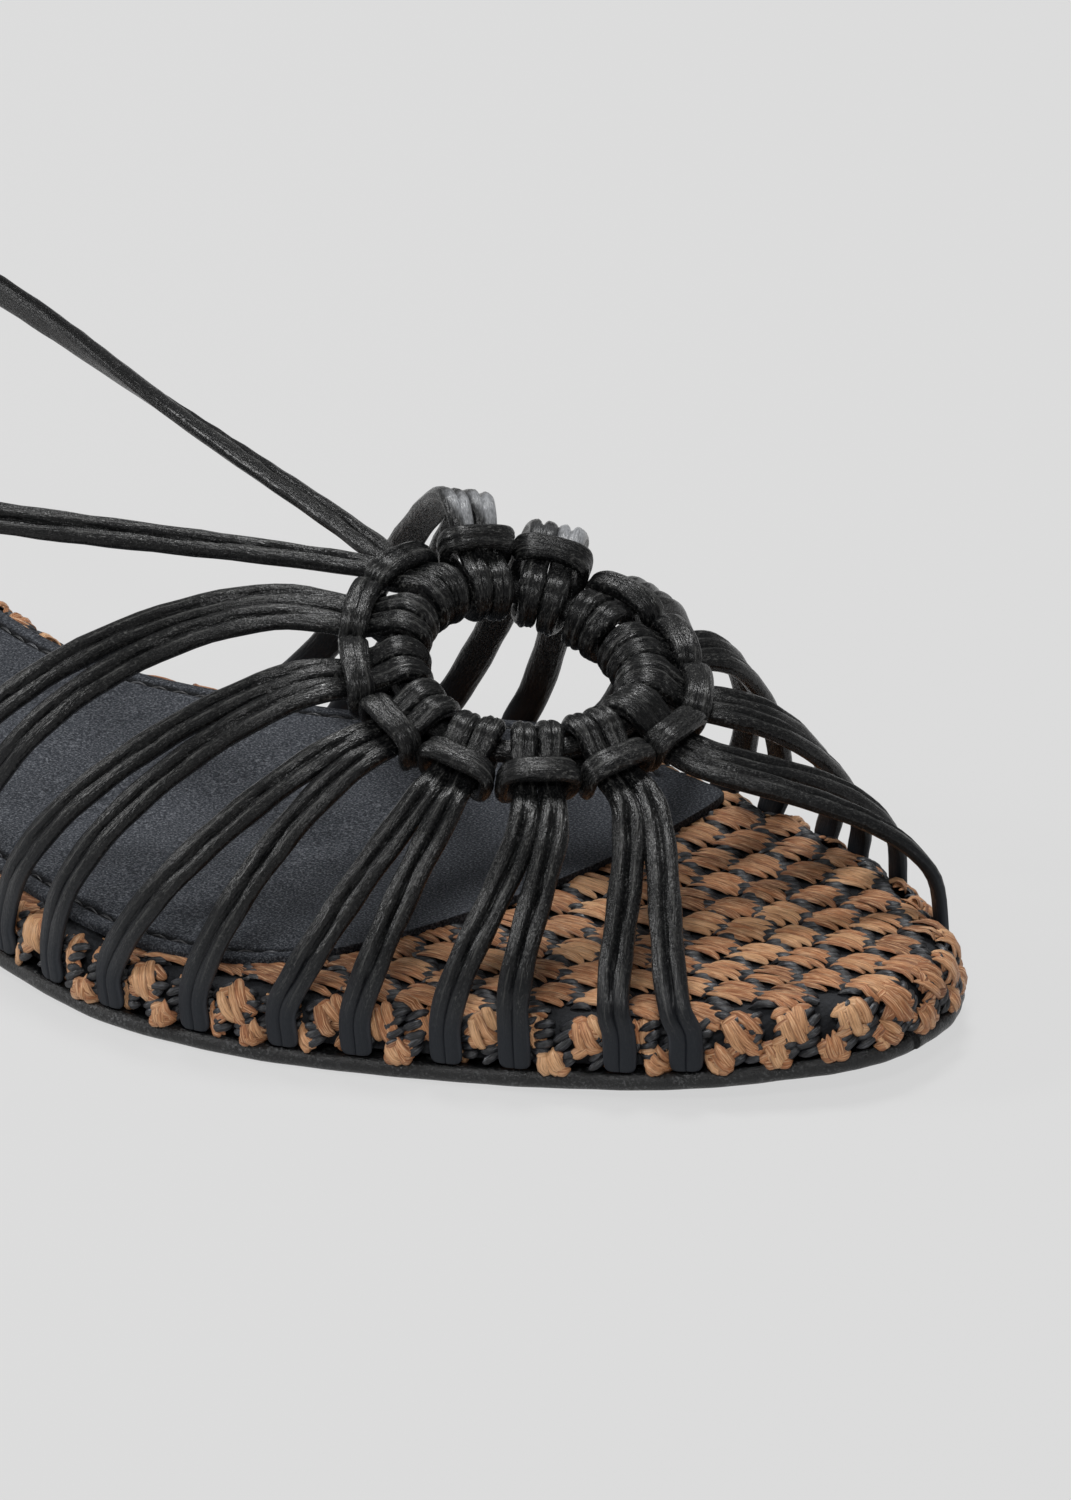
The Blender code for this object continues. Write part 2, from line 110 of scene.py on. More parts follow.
# Knot number, front and rear shares of the length, straight reach and bow, for laces 1 to 6 from the front.
OUTER_STRAPS = (
    (6, 0.931, 0.902, 0.20, 0.25),
    (5, 0.853, 0.820, 0.30, 0.40),
    (4, 0.776, 0.739, 0.15, 0.38),
    (3, 0.690, 0.637, 0.20, 0.48),
    (2, 0.592, 0.551, 0.15, 0.58),
    (1, 0.510, 0.469, 0.22, 0.80),
)
INNER_STRAPS = (
    (6, 0.943, 0.886, 0.20, 0.60),
    (5, 0.845, 0.816, 0.35, 0.30),
    (4, 0.771, 0.735, 0.25, 0.22),
    (3, 0.682, 0.633, 0.20, 0.22),
    (2, 0.596, 0.559, 0.12, 0.22),
    (1, 0.518, 0.478, 0.14, 0.30),
)
KNOT_TURN_DEG = {1: 40.0, 2: 22.0}
STRAP_BULGE = 0.09
STRAP_LEAN = 0.35

# Share of the way from ring to heel, sideways share of the ankle's half width, and share of the climb.
ANKLE_HALF_WIDTH = 0.0360
SLING_LATERAL = (
    (0.10, 0.21, 0.08),
    (0.30, 0.62, 0.20),
    (0.50, 0.93, 0.34),
    (0.68, 1.00, 0.53),
    (0.84, 0.86, 0.75),
    (0.95, 0.50, 0.94),
)
SLING_MEDIAL = (
    (0.10, 0.10, 0.12),
    (0.30, 0.30, 0.31),
    (0.50, 0.52, 0.50),
    (0.68, 0.66, 0.67),
    (0.84, 0.64, 0.84),
    (0.95, 0.40, 0.96),
)

LATERAL, MEDIAL = -1, 1
UP = Vector((0, 0, 1))
MM = 0.001


# The solids' own curves, repeated from part.py.
def curve_slopes(xs, ys):
    """Slopes of a smooth curve through the points: each is weighted between the steps beside it."""
    runs = [b - a for a, b in zip(xs, xs[1:])]
    steps = [(b - a) / run for a, b, run in zip(ys, ys[1:], runs)]
    slopes = [steps[0]]
    for i in range(1, len(steps)):
        before, after = runs[i - 1], runs[i]
        slopes.append((steps[i - 1] * after + steps[i] * before) / (before + after))
    return slopes + [steps[-1]]


def curve_value(xs, ys, slopes, x):
    """The smooth curve through the points, at x."""
    i = 0
    while i < len(xs) - 2 and x > xs[i + 1]:
        i += 1
    run = xs[i + 1] - xs[i]
    t = (x - xs[i]) / run
    start = (1 + 2 * t) * (1 - t) ** 2 * ys[i] + t * (1 - t) ** 2 * run * slopes[i]
    end = t * t * (3 - 2 * t) * ys[i + 1] + t * t * (t - 1) * run * slopes[i + 1]
    return start + end


def clamped(value):
    return min(max(value, 0.0), 1.0)


def station_angle(share):
    return math.acos(1 - 2 * clamped(share))


ANGLES = [station_angle(row[0]) for row in OUTLINE]
SIDE_WIDTHS = {LATERAL: [row[1] for row in OUTLINE], MEDIAL: [row[2] for row in OUTLINE]}
SIDE_SLOPES = {side: curve_slopes(ANGLES, widths) for side, widths in SIDE_WIDTHS.items()}


def outline_point(angle, side):
    width = curve_value(ANGLES, SIDE_WIDTHS[side], SIDE_SLOPES[side], angle) * BALL_WIDTH
    return Vector((SOLE_LENGTH * (1 - math.cos(angle)) / 2 - HEEL_CENTRE, side * width, 0))


def outline_normal(angle, side):
    step = 0.01
    ahead = outline_point(min(angle + step, math.pi), side)
    behind = outline_point(max(angle - step, 0.0), side)
    along = (ahead - behind).normalized()
    return Vector((-side * along.y, side * along.x, 0))


def inset_point(angle, side, inset):
    return outline_point(angle, side) - outline_normal(angle, side) * inset


def ground_clearance(x):
    share = (x + HEEL_CENTRE) / SOLE_LENGTH
    back = clamped((FLAT_START - share) / RISE_RUN)
    front = clamped((share - FLAT_END) / (1 - FLAT_END))
    return HEEL_RISE * back * back * (3 - 2 * back) + TOE_SPRING * front * front


def sock_edge(point, side):
    """Pulls a point of the sock's side in to its bowed front edge, with a rounded corner between them."""
    fall = SOCK_FRONT_SWEEP / (BALL_WIDTH / 2) ** 2
    tip_x = SOCK_FRONT_FROM_HEEL - HEEL_CENTRE
    to_front = math.sqrt(max(tip_x - point.x, 1e-9) / fall)
    to_side = side * (point.y - SOCK_FRONT_OFFSET)
    if to_side <= 0:
        return point
    n = SOCK_CORNER_SHARPNESS
    reach = (to_front**-n + to_side**-n) ** (-1 / n)
    return Vector((point.x, SOCK_FRONT_OFFSET + side * reach, 0))


TILT, ROLL = math.radians(RING_TILT_DEG), math.radians(RING_ROLL_DEG)
RING_FORWARD = Vector((math.cos(TILT), 0, -math.sin(TILT)))
RING_ACROSS = Vector((0, math.cos(ROLL), math.sin(ROLL)))
RING_OUT = RING_FORWARD.cross(RING_ACROSS).normalized()
RING_ACROSS = RING_OUT.cross(RING_FORWARD).normalized()
RING_CENTRE = Vector((RING_CENTRE_FROM_HEEL - HEEL_CENTRE, 0, RING_HEIGHT))


def knot_angle(number):
    return math.pi - number * 2 * math.pi / KNOTS


def knot_axes(number):
    angle = knot_angle(number)
    outward = math.cos(angle) * RING_FORWARD + math.sin(angle) * RING_ACROSS
    return outward, RING_OUT.cross(outward)


def saddle(angle):
    return RING_OUT * RING_SADDLE * math.cos(2 * angle)


def pitch(radial):
    return 2 * math.pi * (RING_RADIUS + radial) / KNOTS


def bezier(points, t):
    a, b, c, d = points
    s = 1 - t
    return s**3 * a + 3 * s * s * t * b + 3 * s * t * t * c + t**3 * d


# Mesh making.
class Skin:
    """Collects lofted forms into one mesh, with values at each point for its material to read."""

    def __init__(self):
        self.points, self.faces, self.values = [], [], {}

    def loft(self, sections, closed=False, **values):
        """Joins equal rings of points. A value is one number or vector, or a list with one for each point."""
        first, size = len(self.points), len(sections[0])
        total = size * len(sections)
        for section in sections:
            self.points.extend(section)
        for name, value in values.items():
            store = self.values.setdefault(name, [])
            store.extend(value if isinstance(value, list) else [value] * total)
        rings = len(sections)
        for ring in range(rings if closed else rings - 1):
            a, b = first + ring * size, first + (ring + 1) % rings * size
            for i in range(size):
                j = (i + 1) % size
                self.faces.append((a + i, a + j, b + j, b + i))
        if not closed:
            self.faces.append(tuple(range(first + size - 1, first - 1, -1)))
            last = first + (rings - 1) * size
            self.faces.append(tuple(range(last, last + size)))

    def piece(self, name, material, slot, *nodes, sharp_degrees=60.0):
        """Makes the object, which rides on the one body and stands for the named solids."""
        mesh = bpy.data.meshes.new(name)
        mesh.from_pydata([tuple(point) for point in self.points], [], self.faces)
        for attribute, values in self.values.items():
            if isinstance(values[0], (int, float)):
                made = mesh.attributes.new(attribute, "FLOAT", "POINT")
                made.data.foreach_set("value", np.array(values, np.float32))
            else:
                made = mesh.attributes.new(attribute, "FLOAT_VECTOR", "POINT")
                made.data.foreach_set("vector", np.array(values, np.float32).ravel())
        mesh.materials.append(material)
        mesh.update()
        mesh.shade_smooth()
        mesh.set_sharp_from_angle(angle=math.radians(sharp_degrees))
        made = bpy.data.objects.new(name, mesh)
        bpy.context.scene.collection.objects.link(made)
        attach(made, "root")
        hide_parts(*nodes)


# Materials.
class Recipe:
    """A material and short ways to add nodes to it."""

    def __init__(self, name, **sockets):
        self.material = bpy.data.materials.new(name)
        self.material.use_nodes = True
        self.tree = self.material.node_tree
        self.shader = self.tree.nodes["Principled BSDF"]
        for socket, value in sockets.items():
            self.set(self.shader, socket.replace("_", " "), value)

    def set(self, node, socket, value):
        """A socket gets a number or colour, or a link from another node's output."""
        target = node.inputs[socket]
        if isinstance(value, bpy.types.NodeSocket):
            self.tree.links.new(value, target)
        else:
            target.default_value = value

    def node(self, kind, output, **inputs):
        made = self.tree.nodes.new(kind)
        for socket, value in inputs.items():
            self.set(made, socket, value)
        return made.outputs[output]

    def attribute(self, name, output="Vector"):
        made = self.tree.nodes.new("ShaderNodeAttribute")
        made.attribute_name = name
        return made.outputs[output]

    def math(self, operation, a, b=0.0, clamp=False):
        made = self.tree.nodes.new("ShaderNodeMath")
        made.operation = operation
        made.use_clamp = clamp
        self.set(made, 0, a)
        self.set(made, 1, b)
        return made.outputs[0]

    def times(self, a, b):
        return self.math("MULTIPLY", a, b)

    def plus(self, a, b):
        return self.math("ADD", a, b)

    def scaled(self, vector, scale):
        made = self.tree.nodes.new("ShaderNodeVectorMath")
        made.operation = "MULTIPLY"
        self.set(made, 0, vector)
        self.set(made, 1, scale)
        return made.outputs[0]

    def noise(self, vector, scale=1.0, detail=2.0, roughness=0.5):
        inputs = {"Vector": vector, "Scale": scale, "Detail": detail, "Roughness": roughness}
        return self.node("ShaderNodeTexNoise", "Fac", **inputs)

    def mix(self, share, a, b):
        made = self.tree.nodes.new("ShaderNodeMix")
        made.data_type = "RGBA"
        self.set(made, 0, share)
        self.set(made, 6, a)
        self.set(made, 7, b)
        return made.outputs[2]

    def ramp(self, value, low, high, to_low=0.0, to_high=1.0):
        made = self.tree.nodes.new("ShaderNodeMapRange")
        self.set(made, 0, value)
        for socket, number in zip((1, 2, 3, 4), (low, high, to_low, to_high)):
            self.set(made, socket, number)
        return made.outputs[0]

    def surface(self, colour, roughness):
        self.set(self.shader, "Base Color", colour)
        self.set(self.shader, "Roughness", roughness)

    def bump(self, height, depth, strength):
        """Relief: depth in metres for a height from 0 to 1."""
        normal = self.node("ShaderNodeBump", "Normal", Height=height, Distance=depth, Strength=strength)
        self.set(self.shader, "Normal", normal)

    def objects_mm(self):
        """The object's own coordinates, in millimetres."""
        return self.scaled(self.node("ShaderNodeTexCoord", "Object"), (1000, 1000, 1000))


def srgb(red, green, blue):
    """A colour from 0 to 255 as Blender's linear one."""
    shares = [value / 255 for value in (red, green, blue)]
    linear = [share / 12.92 if share <= 0.04045 else ((share + 0.055) / 1.055) ** 2.4 for share in shares]
    return (*linear, 1)


def lace_leather(name="lace_leather"):
    """Soft black leather: glossy creased crests with scuffs and painted highlight streaks, and smooth matte
    skived ends.
    """
    r = Recipe(name, Specular_IOR_Level=0.3)
    grain = r.attribute("grain")
    crest, skived, edge, pale = (r.attribute(value, "Fac") for value in ("crest", "skived", "edge", "pale"))
    fine = r.noise(r.scaled(grain, (4.4, 2.2, 4.4)), detail=3.0, roughness=0.6)
    crease = r.noise(r.scaled(grain, (3.6, 0.35, 3.6)), detail=3.0, roughness=0.6)
    scuff = r.noise(r.scaled(grain, (5.5, 1.6, 5.5)), detail=4.0, roughness=0.65)
    blotch = r.noise(r.scaled(grain, (0.8, 0.22, 0.8)))
    streak = r.noise(r.scaled(grain, (2.6, 0.28, 2.6)))
    # Painted highlight: pale grey lines and streaks along the crests and fine sparkle dots, mixed in with the
    # real scuffs below.
    painted_crest_line = r.times(crest, r.ramp(blotch, 0.4, 0.56))
    scuffs_and_highlights = r.times(r.ramp(scuff, 0.53, 0.61), r.plus(r.times(painted_crest_line, 0.36), 0.03))
    dots = r.times(r.ramp(fine, 0.57, 0.62), 0.07)
    glint = r.times(r.ramp(streak, 0.46, 0.58, 0.0, 0.5), r.ramp(crest, 0.6, 0.95))
    glint = r.times(glint, r.ramp(fine, 0.4, 0.52, 0.35, 1.0))
    scuffs_and_highlights = r.math("MAXIMUM", r.math("MAXIMUM", scuffs_and_highlights, dots), glint)
    scuffs_and_highlights = r.times(scuffs_and_highlights, r.math("SUBTRACT", 1.0, skived, clamp=True))
    black = r.mix(crease, srgb(3, 3, 4), srgb(17, 18, 19))
    black = r.mix(skived, black, srgb(25, 29, 35))
    black = r.mix(r.times(r.times(edge, skived), 0.35), black, srgb(70, 74, 80))
    # Pale grey for the scuffs and for the painted crest highlights.
    black = r.mix(scuffs_and_highlights, black, srgb(140, 140, 137))
    # Painted reflection: near the sharp inner bends, the side facing one way is painted pale grey as a
    # grazing reflection.
    painted_sheen = r.times(pale, r.ramp(scuff, 0.36, 0.6, 0.4, 1.0))
    rough = r.plus(r.ramp(scuff, 0.36, 0.62, 0.34, 0.2), r.times(skived, 0.35))
    r.surface(r.mix(painted_sheen, black, srgb(158, 160, 163)), rough)
    relief = r.plus(r.times(fine, 0.1), r.times(crease, 0.55))
    r.bump(r.times(relief, r.math("SUBTRACT", 1.0, r.times(skived, 0.8))), 0.0005, 0.9)
    return r.material


def sock_leather():
    """Charcoal blue-grey leather with a fine even grain."""
    r = Recipe("sock_leather", Specular_IOR_Level=0.12)
    place = r.objects_mm()
    fine = r.noise(place, scale=3.4, detail=4.0, roughness=0.7)
    base = r.mix(r.noise(place, scale=0.06), srgb(46, 49, 55), srgb(60, 63, 69))
    base = r.mix(r.ramp(fine, 0.5, 0.66), base, srgb(118, 121, 126))
    base = r.mix(r.ramp(fine, 0.48, 0.34), base, srgb(22, 24, 29))
    r.surface(r.mix(r.attribute("seam", "Fac"), base, srgb(6, 7, 9)), 0.66)
    r.bump(fine, 0.0003, 0.8)
    return r.material


def bead_leather():
    """The outsole's black painted edge, slightly grainy, with pale specks painted in as its speckled
    highlight.
    """
    r = Recipe("outsole_rubber", Specular_IOR_Level=0.45)
    place = r.objects_mm()
    fine = r.noise(place, scale=2.6, detail=4.0, roughness=0.65)
    cloud = r.noise(place, scale=0.3)
    # Painted highlight: pale grey specks in patches.
    painted_speck_highlight = r.times(r.ramp(fine, 0.54, 0.66), r.ramp(cloud, 0.4, 0.6))
    r.surface(r.mix(painted_speck_highlight, srgb(10, 11, 12), srgb(84, 85, 86)), r.ramp(fine, 0.35, 0.65, 0.45, 0.26))
    r.bump(fine, 0.00025, 0.8)
    return r.material


def lift_rubber():
    """Matte black rubber with fine level lines from stacking."""
    r = Recipe("heel_rubber", Specular_IOR_Level=0.35)
    place = r.objects_mm()
    lines = r.noise(r.scaled(place, (0.1, 0.1, 3.5)))
    fine = r.noise(place, scale=3.2, detail=3.0)
    black = r.mix(r.ramp(lines, 0.4, 0.7), srgb(19, 20, 21), srgb(36, 37, 38))
    r.surface(black, r.ramp(fine, 0.3, 0.7, 0.7, 0.52))
    r.bump(r.plus(lines, r.times(fine, 0.5)), 0.00012, 0.6)
    return r.material


def raffia():
    """Dry palm fibre: streaks along each strand, from red-brown to straw, the palest pushed into painted
    highlights, with painted shade where strands meet.
    """
    r = Recipe("woven_fibre", Specular_IOR_Level=0.4)
    grain = r.attribute("grain")
    tint = r.attribute("tint", "Fac")
    edge = r.attribute("edge", "Fac")
    streak = r.noise(r.scaled(grain, (6.0, 0.35, 6.0)), detail=3.0, roughness=0.6)
    fibre = r.noise(r.scaled(grain, (16.0, 0.8, 16.0)), detail=3.0, roughness=0.65)
    base = r.mix(r.ramp(tint, 0.0, 0.5), srgb(132, 84, 52), srgb(180, 118, 76))
    base = r.mix(r.ramp(tint, 0.5, 1.0), base, srgb(218, 168, 122))
    # Partly painted highlight: the fibre's own pale streaks are pushed to near-white straw as painted
    # highlights.
    base = r.mix(r.ramp(streak, 0.48, 0.63, 0.0, 0.85), base, srgb(232, 188, 146))
    base = r.mix(r.ramp(streak, 0.46, 0.3, 0.0, 0.7), base, srgb(100, 56, 32))
    base = r.mix(r.ramp(fibre, 0.5, 0.32, 0.0, 0.55), base, srgb(84, 50, 30))
    # Painted shade: darker towards each strand's sides, where strands meet.
    base = r.mix(r.ramp(edge, 0.6, 1.0, 0.0, 0.6), base, srgb(84, 50, 32))
    r.surface(base, r.ramp(streak, 0.35, 0.65, 0.55, 0.3))
    r.bump(r.plus(r.times(streak, 0.6), r.times(fibre, 0.6)), 0.0003, 0.9)
    return r.material


def black_cord():
    """Glossy black twisted cord between the raffia stitches."""
    r = Recipe("woven_black", Specular_IOR_Level=0.5)
    grain = r.attribute("grain")
    fibre = r.noise(r.scaled(grain, (6.0, 0.7, 6.0)), detail=3.0, roughness=0.6)
    # Painted highlight: pale grey along the fibres stands for the cord's gloss.
    black = r.mix(r.ramp(fibre, 0.5, 0.75), srgb(20, 21, 24), srgb(84, 86, 92))
    r.surface(black, r.ramp(fibre, 0.3, 0.7, 0.5, 0.32))
    r.bump(fibre, 0.0002, 0.8)
    return r.material


def ground_cloth():
    """The dark cloth that the weave is worked on."""
    r = Recipe("woven_ground", Specular_IOR_Level=0.25)
    fine = r.noise(r.objects_mm(), scale=1.6, detail=3.0)
    r.surface(r.mix(fine, srgb(20, 21, 23), srgb(44, 46, 50)), 0.8)
    r.bump(fine, 0.0004, 0.9)
    return r.material


# Laces.
ROW_STEPS = 4
# The lace's section: where its points lie across the width, on the outer face and on the back.
HALF_FACE = (0.5, 0.475, 0.41, 0.31, 0.21, 0.12, 0.05)
FACE_ACROSS = (*[-share for share in HALF_FACE], 0.0, *HALF_FACE[::-1])
BACK_ACROSS = (0.46, 0.33, 0.17, 0.0, -0.17, -0.33, -0.46)

WRAP = RING_CORE_RADIUS + FIT_GAP + LACE_THICKNESS / 2
LEG_THICKNESS = LACE_THICKNESS * LEG_SQUEEZE
LEG_WIDTH = 0.0030
BAR_RADIAL = WRAP + LACE_THICKNESS * 1.42
UNDER_BAR_HEIGHT = -0.2 * LACE_THICKNESS
BAR_HEIGHT = UNDER_BAR_HEIGHT + LACE_THICKNESS + FIT_GAP
EXIT_RADIAL = BAR_RADIAL + 1.5 * LACE_THICKNESS

# What the pulled-tight leather shows beyond the solids: narrower round strands, a fuller bar, and a lean of
# each bar in mm from one side to the other, for knots counted from the back (inner side positive).
PRESS = 0.00005
SKIVED_WIDTH = 0.0041
# The two inner knots whose straps bend sharply down behind the ring: a grazing reflection is painted pale
# grey on the leather there.
PALE_KNOTS = (1, 2)
# The way a surface near those bends faces to be painted palest.
SHEEN_WAY = Vector((-0.1, 0.8, 0.6)).normalized()
WRAP_WIDTH = 0.00325
WRAP_THICKNESS = 0.00235
EXIT_WIDTH = 0.0034
BAR_WIDTH = 0.0036
BAR_THICKNESS = 0.0023
BAR_LEAN_MM = {
    -6: -0.5, -5: -0.1, -4: 0.9, -3: 0.5, -2: 0.3, -1: -0.2, 0: 0.5,
    2: -0.5, 3: -0.4, 4: 0.5, 5: -0.3, 6: 0.4,
}
# How far the ends are skived where the strap leaves the sole, row by row.
SKIVED_FADE = (0.9, 0.4, 0.1, 0.0)
TANGENT_STEP = 0.02
PALE_REACH = 0.0036
PALE_FADE = 0.0014



def knot_half(chance):
    """Half of a knot: (radial, along, height, normal, width, thickness) rows from the exit to the bar."""
    gap = FIT_GAP
    under_width = pitch(BAR_RADIAL) / 2 - LEG_THICKNESS - 2 * gap
    leg_along = pitch(BAR_RADIAL) / 2 - LEG_THICKNESS / 2 - gap / 2
    rows = [
        (EXIT_RADIAL, EXIT_WIDTH / 2, UNDER_BAR_HEIGHT - 0.0002, (0.05, 0, 1), EXIT_WIDTH, LACE_THICKNESS),
        (BAR_RADIAL, under_width / 2, UNDER_BAR_HEIGHT, (0.1, 0, 1), under_width, LACE_THICKNESS),
    ]
    loose = chance.uniform(-0.00012, 0.00016)
    for degrees in (38, 72, 108, 144, 180, 216, 252, 286):
        turn = math.radians(degrees)
        reach = WRAP + (loose if degrees < 200 else 0.0)
        radial, height = reach * math.cos(turn), reach * math.sin(turn)
        share = pitch(min(radial, radial + LACE_THICKNESS / 2 * math.cos(turn))) / 2 - gap / 2
        width = min(WRAP_WIDTH, share)
        normal = (math.cos(turn), 0, math.sin(turn))
        rows.append((radial, width / 2 - PRESS, height, normal, width, WRAP_THICKNESS))
    low = -WRAP - 0.2 * LACE_THICKNESS
    rows += [
        (0.55 * BAR_RADIAL, 0.62 * leg_along, low, (0, 0.25, -1), LEG_WIDTH, 0.9 * LACE_THICKNESS),
        (0.84 * BAR_RADIAL, 0.93 * leg_along, 0.62 * low, (-0.2, 1, -0.9), LEG_WIDTH, LEG_THICKNESS * 1.1),
        (BAR_RADIAL, leg_along, -0.1 * LACE_THICKNESS, (0, 1, 0), LEG_WIDTH, LEG_THICKNESS * 1.15),
        (BAR_RADIAL, 0.97 * leg_along, 0.62 * BAR_HEIGHT, (0, 1, 0.45), BAR_WIDTH, LEG_THICKNESS * 1.2),
        (BAR_RADIAL, 0.66 * leg_along, BAR_HEIGHT + 0.0001, (0, 0.45, 1), BAR_WIDTH, 0.95 * BAR_THICKNESS),
        (BAR_RADIAL, 0.0, BAR_HEIGHT + 0.0003, (0, 0, 1), BAR_WIDTH, BAR_THICKNESS),
    ]
    return rows


def knot_turn(number):
    return math.radians(KNOT_TURN_DEG.get(number, 0.0))


def placed_knot_half(number, hand):
    """The half knot as (point, normal, width, thickness, skived, knotted) rows."""
    chance = random.Random(100 + 2 * number + hand)
    outward, along = knot_axes(number)
    cos, sin = math.cos(knot_turn(number)), math.sin(knot_turn(number))
    lean = BAR_LEAN_MM.get(number, 0.0) * MM * hand
    placed = []
    for radial, sideways, height, normal, width, thickness in knot_half(chance):
        swing = sideways / (RING_RADIUS + radial)
        if normal[0] <= 0.05 and radial > 0:
            radial += lean * sideways / (pitch(BAR_RADIAL) / 2)
        side_out = outward * math.cos(swing) + hand * along * math.sin(swing)
        side_along = along * math.cos(swing) - hand * outward * math.sin(swing)
        turned_radial = radial * cos - height * sin
        turned_height = radial * sin + height * cos
        centre = RING_CENTRE + saddle(knot_angle(number) + hand * swing)
        point = centre + side_out * (RING_RADIUS + turned_radial) + RING_OUT * turned_height
        turned_out = side_out * cos + RING_OUT * sin
        turned_up = RING_OUT * cos - side_out * sin
        direction = turned_out * normal[0] + hand * side_along * normal[1] + turned_up * normal[2]
        squeeze = min((RING_RADIUS + turned_radial) / (RING_RADIUS + radial), 1.0)
        placed.append((point, direction.normalized(), width * squeeze, thickness * squeeze, 0.0, 1.0))
    return placed


def strap_rows(start, outward, share, reach, bow, side, steps=7):
    """The strap from the sole up to its knot, as (point, normal, width, thickness, skived, knotted) rows."""
    angle = station_angle(share)
    edge_out = outline_normal(angle, side)
    stand_off = FOOTBED_LEDGE - FIT_GAP - STRAP_END_THICKNESS / 2
    edge = inset_point(angle, side, stand_off)
    floor = ground_clearance(edge.x)
    foot = edge + UP * (floor + OUTSOLE_THICKNESS + FIT_GAP)
    rim = edge + UP * (floor + FOOTBED_TOP - 0.5 * FOOTBED_RIM_ROUND)
    span = (start - rim).length
    drop = start.z - rim.z
    edge_along = UP.cross(edge_out)
    lean = edge_along * (start - rim).dot(edge_along) * STRAP_LEAN
    control = (
        start,
        start + outward * span * reach,
        rim + UP * drop * bow + edge_out * span * STRAP_BULGE + lean,
        rim,
    )
    rows = [
        (foot, edge_out, 0.78 * SKIVED_WIDTH, 0.8 * STRAP_END_THICKNESS, 1.0, 0.0),
        (foot * 0.8 + rim * 0.2, edge_out, SKIVED_WIDTH, STRAP_END_THICKNESS, 1.0, 0.0),
    ]
    for i in range(steps):
        t = 1 - i / steps
        point = bezier(control, t)
        along = bezier(control, max(t - TANGENT_STEP, 0)) - bezier(control, min(t + TANGENT_STEP, 1))
        facing = RING_OUT * (1 - t) + edge_out * t
        normal = facing - along * (facing.dot(along) / along.length_squared)
        flat = t**3
        width = LACE_WIDTH + (SKIVED_WIDTH - LACE_WIDTH) * flat
        thickness = LACE_THICKNESS + (STRAP_END_THICKNESS - LACE_THICKNESS) * flat
        skived = SKIVED_FADE[min(i, len(SKIVED_FADE) - 1)]
        rows.append((point, normal.normalized(), width, thickness, skived, 0.0))
    return rows


def smooth_step(a, b, before, after, t):
    """A Catmull-Rom value between a and b."""
    square = 2 * before - 5 * a + 4 * b - after
    cube = 3 * a - before - 3 * b + after
    return 0.5 * (2 * a + (b - before) * t + square * t * t + cube * t**3)


def finer(rows, closed):
    """More rows on smooth curves through these."""
    count = len(rows)
    made = []
    for i in range(count if closed else count - 1):
        if closed:
            before, a, b, after = (rows[(i + k) % count] for k in (-1, 0, 1, 2))
        else:
            before, a, b, after = (rows[min(max(i + k, 0), count - 1)] for k in (-1, 0, 1, 2))
        for step in range(ROW_STEPS):
            t = step / ROW_STEPS
            made.append(tuple(smooth_step(a[k], b[k], before[k], after[k], t) for k in range(6)))
    return made if closed else made + [rows[-1]]


def face_height(across, knotted, wander, creases):
    """Height of the lace's outer face as a share of its thickness, and how far it is a crest."""
    edge = max(1 - abs(2 * across) ** 2.6, 0.0) ** 0.5
    cut = 0.4 * math.exp(-(((across - wander) / 0.085) ** 2)) * (1 - 0.72 * knotted)
    for place, depth in creases:
        cut += depth * knotted * math.exp(-(((across - place) / 0.05) ** 2))
    lobe = max(math.exp(-(((abs(across) - 0.25) / 0.08) ** 2)), 0.6 * knotted)
    return (0.5 - cut) * edge, lobe * max(1 - 3 * cut, 0.0)


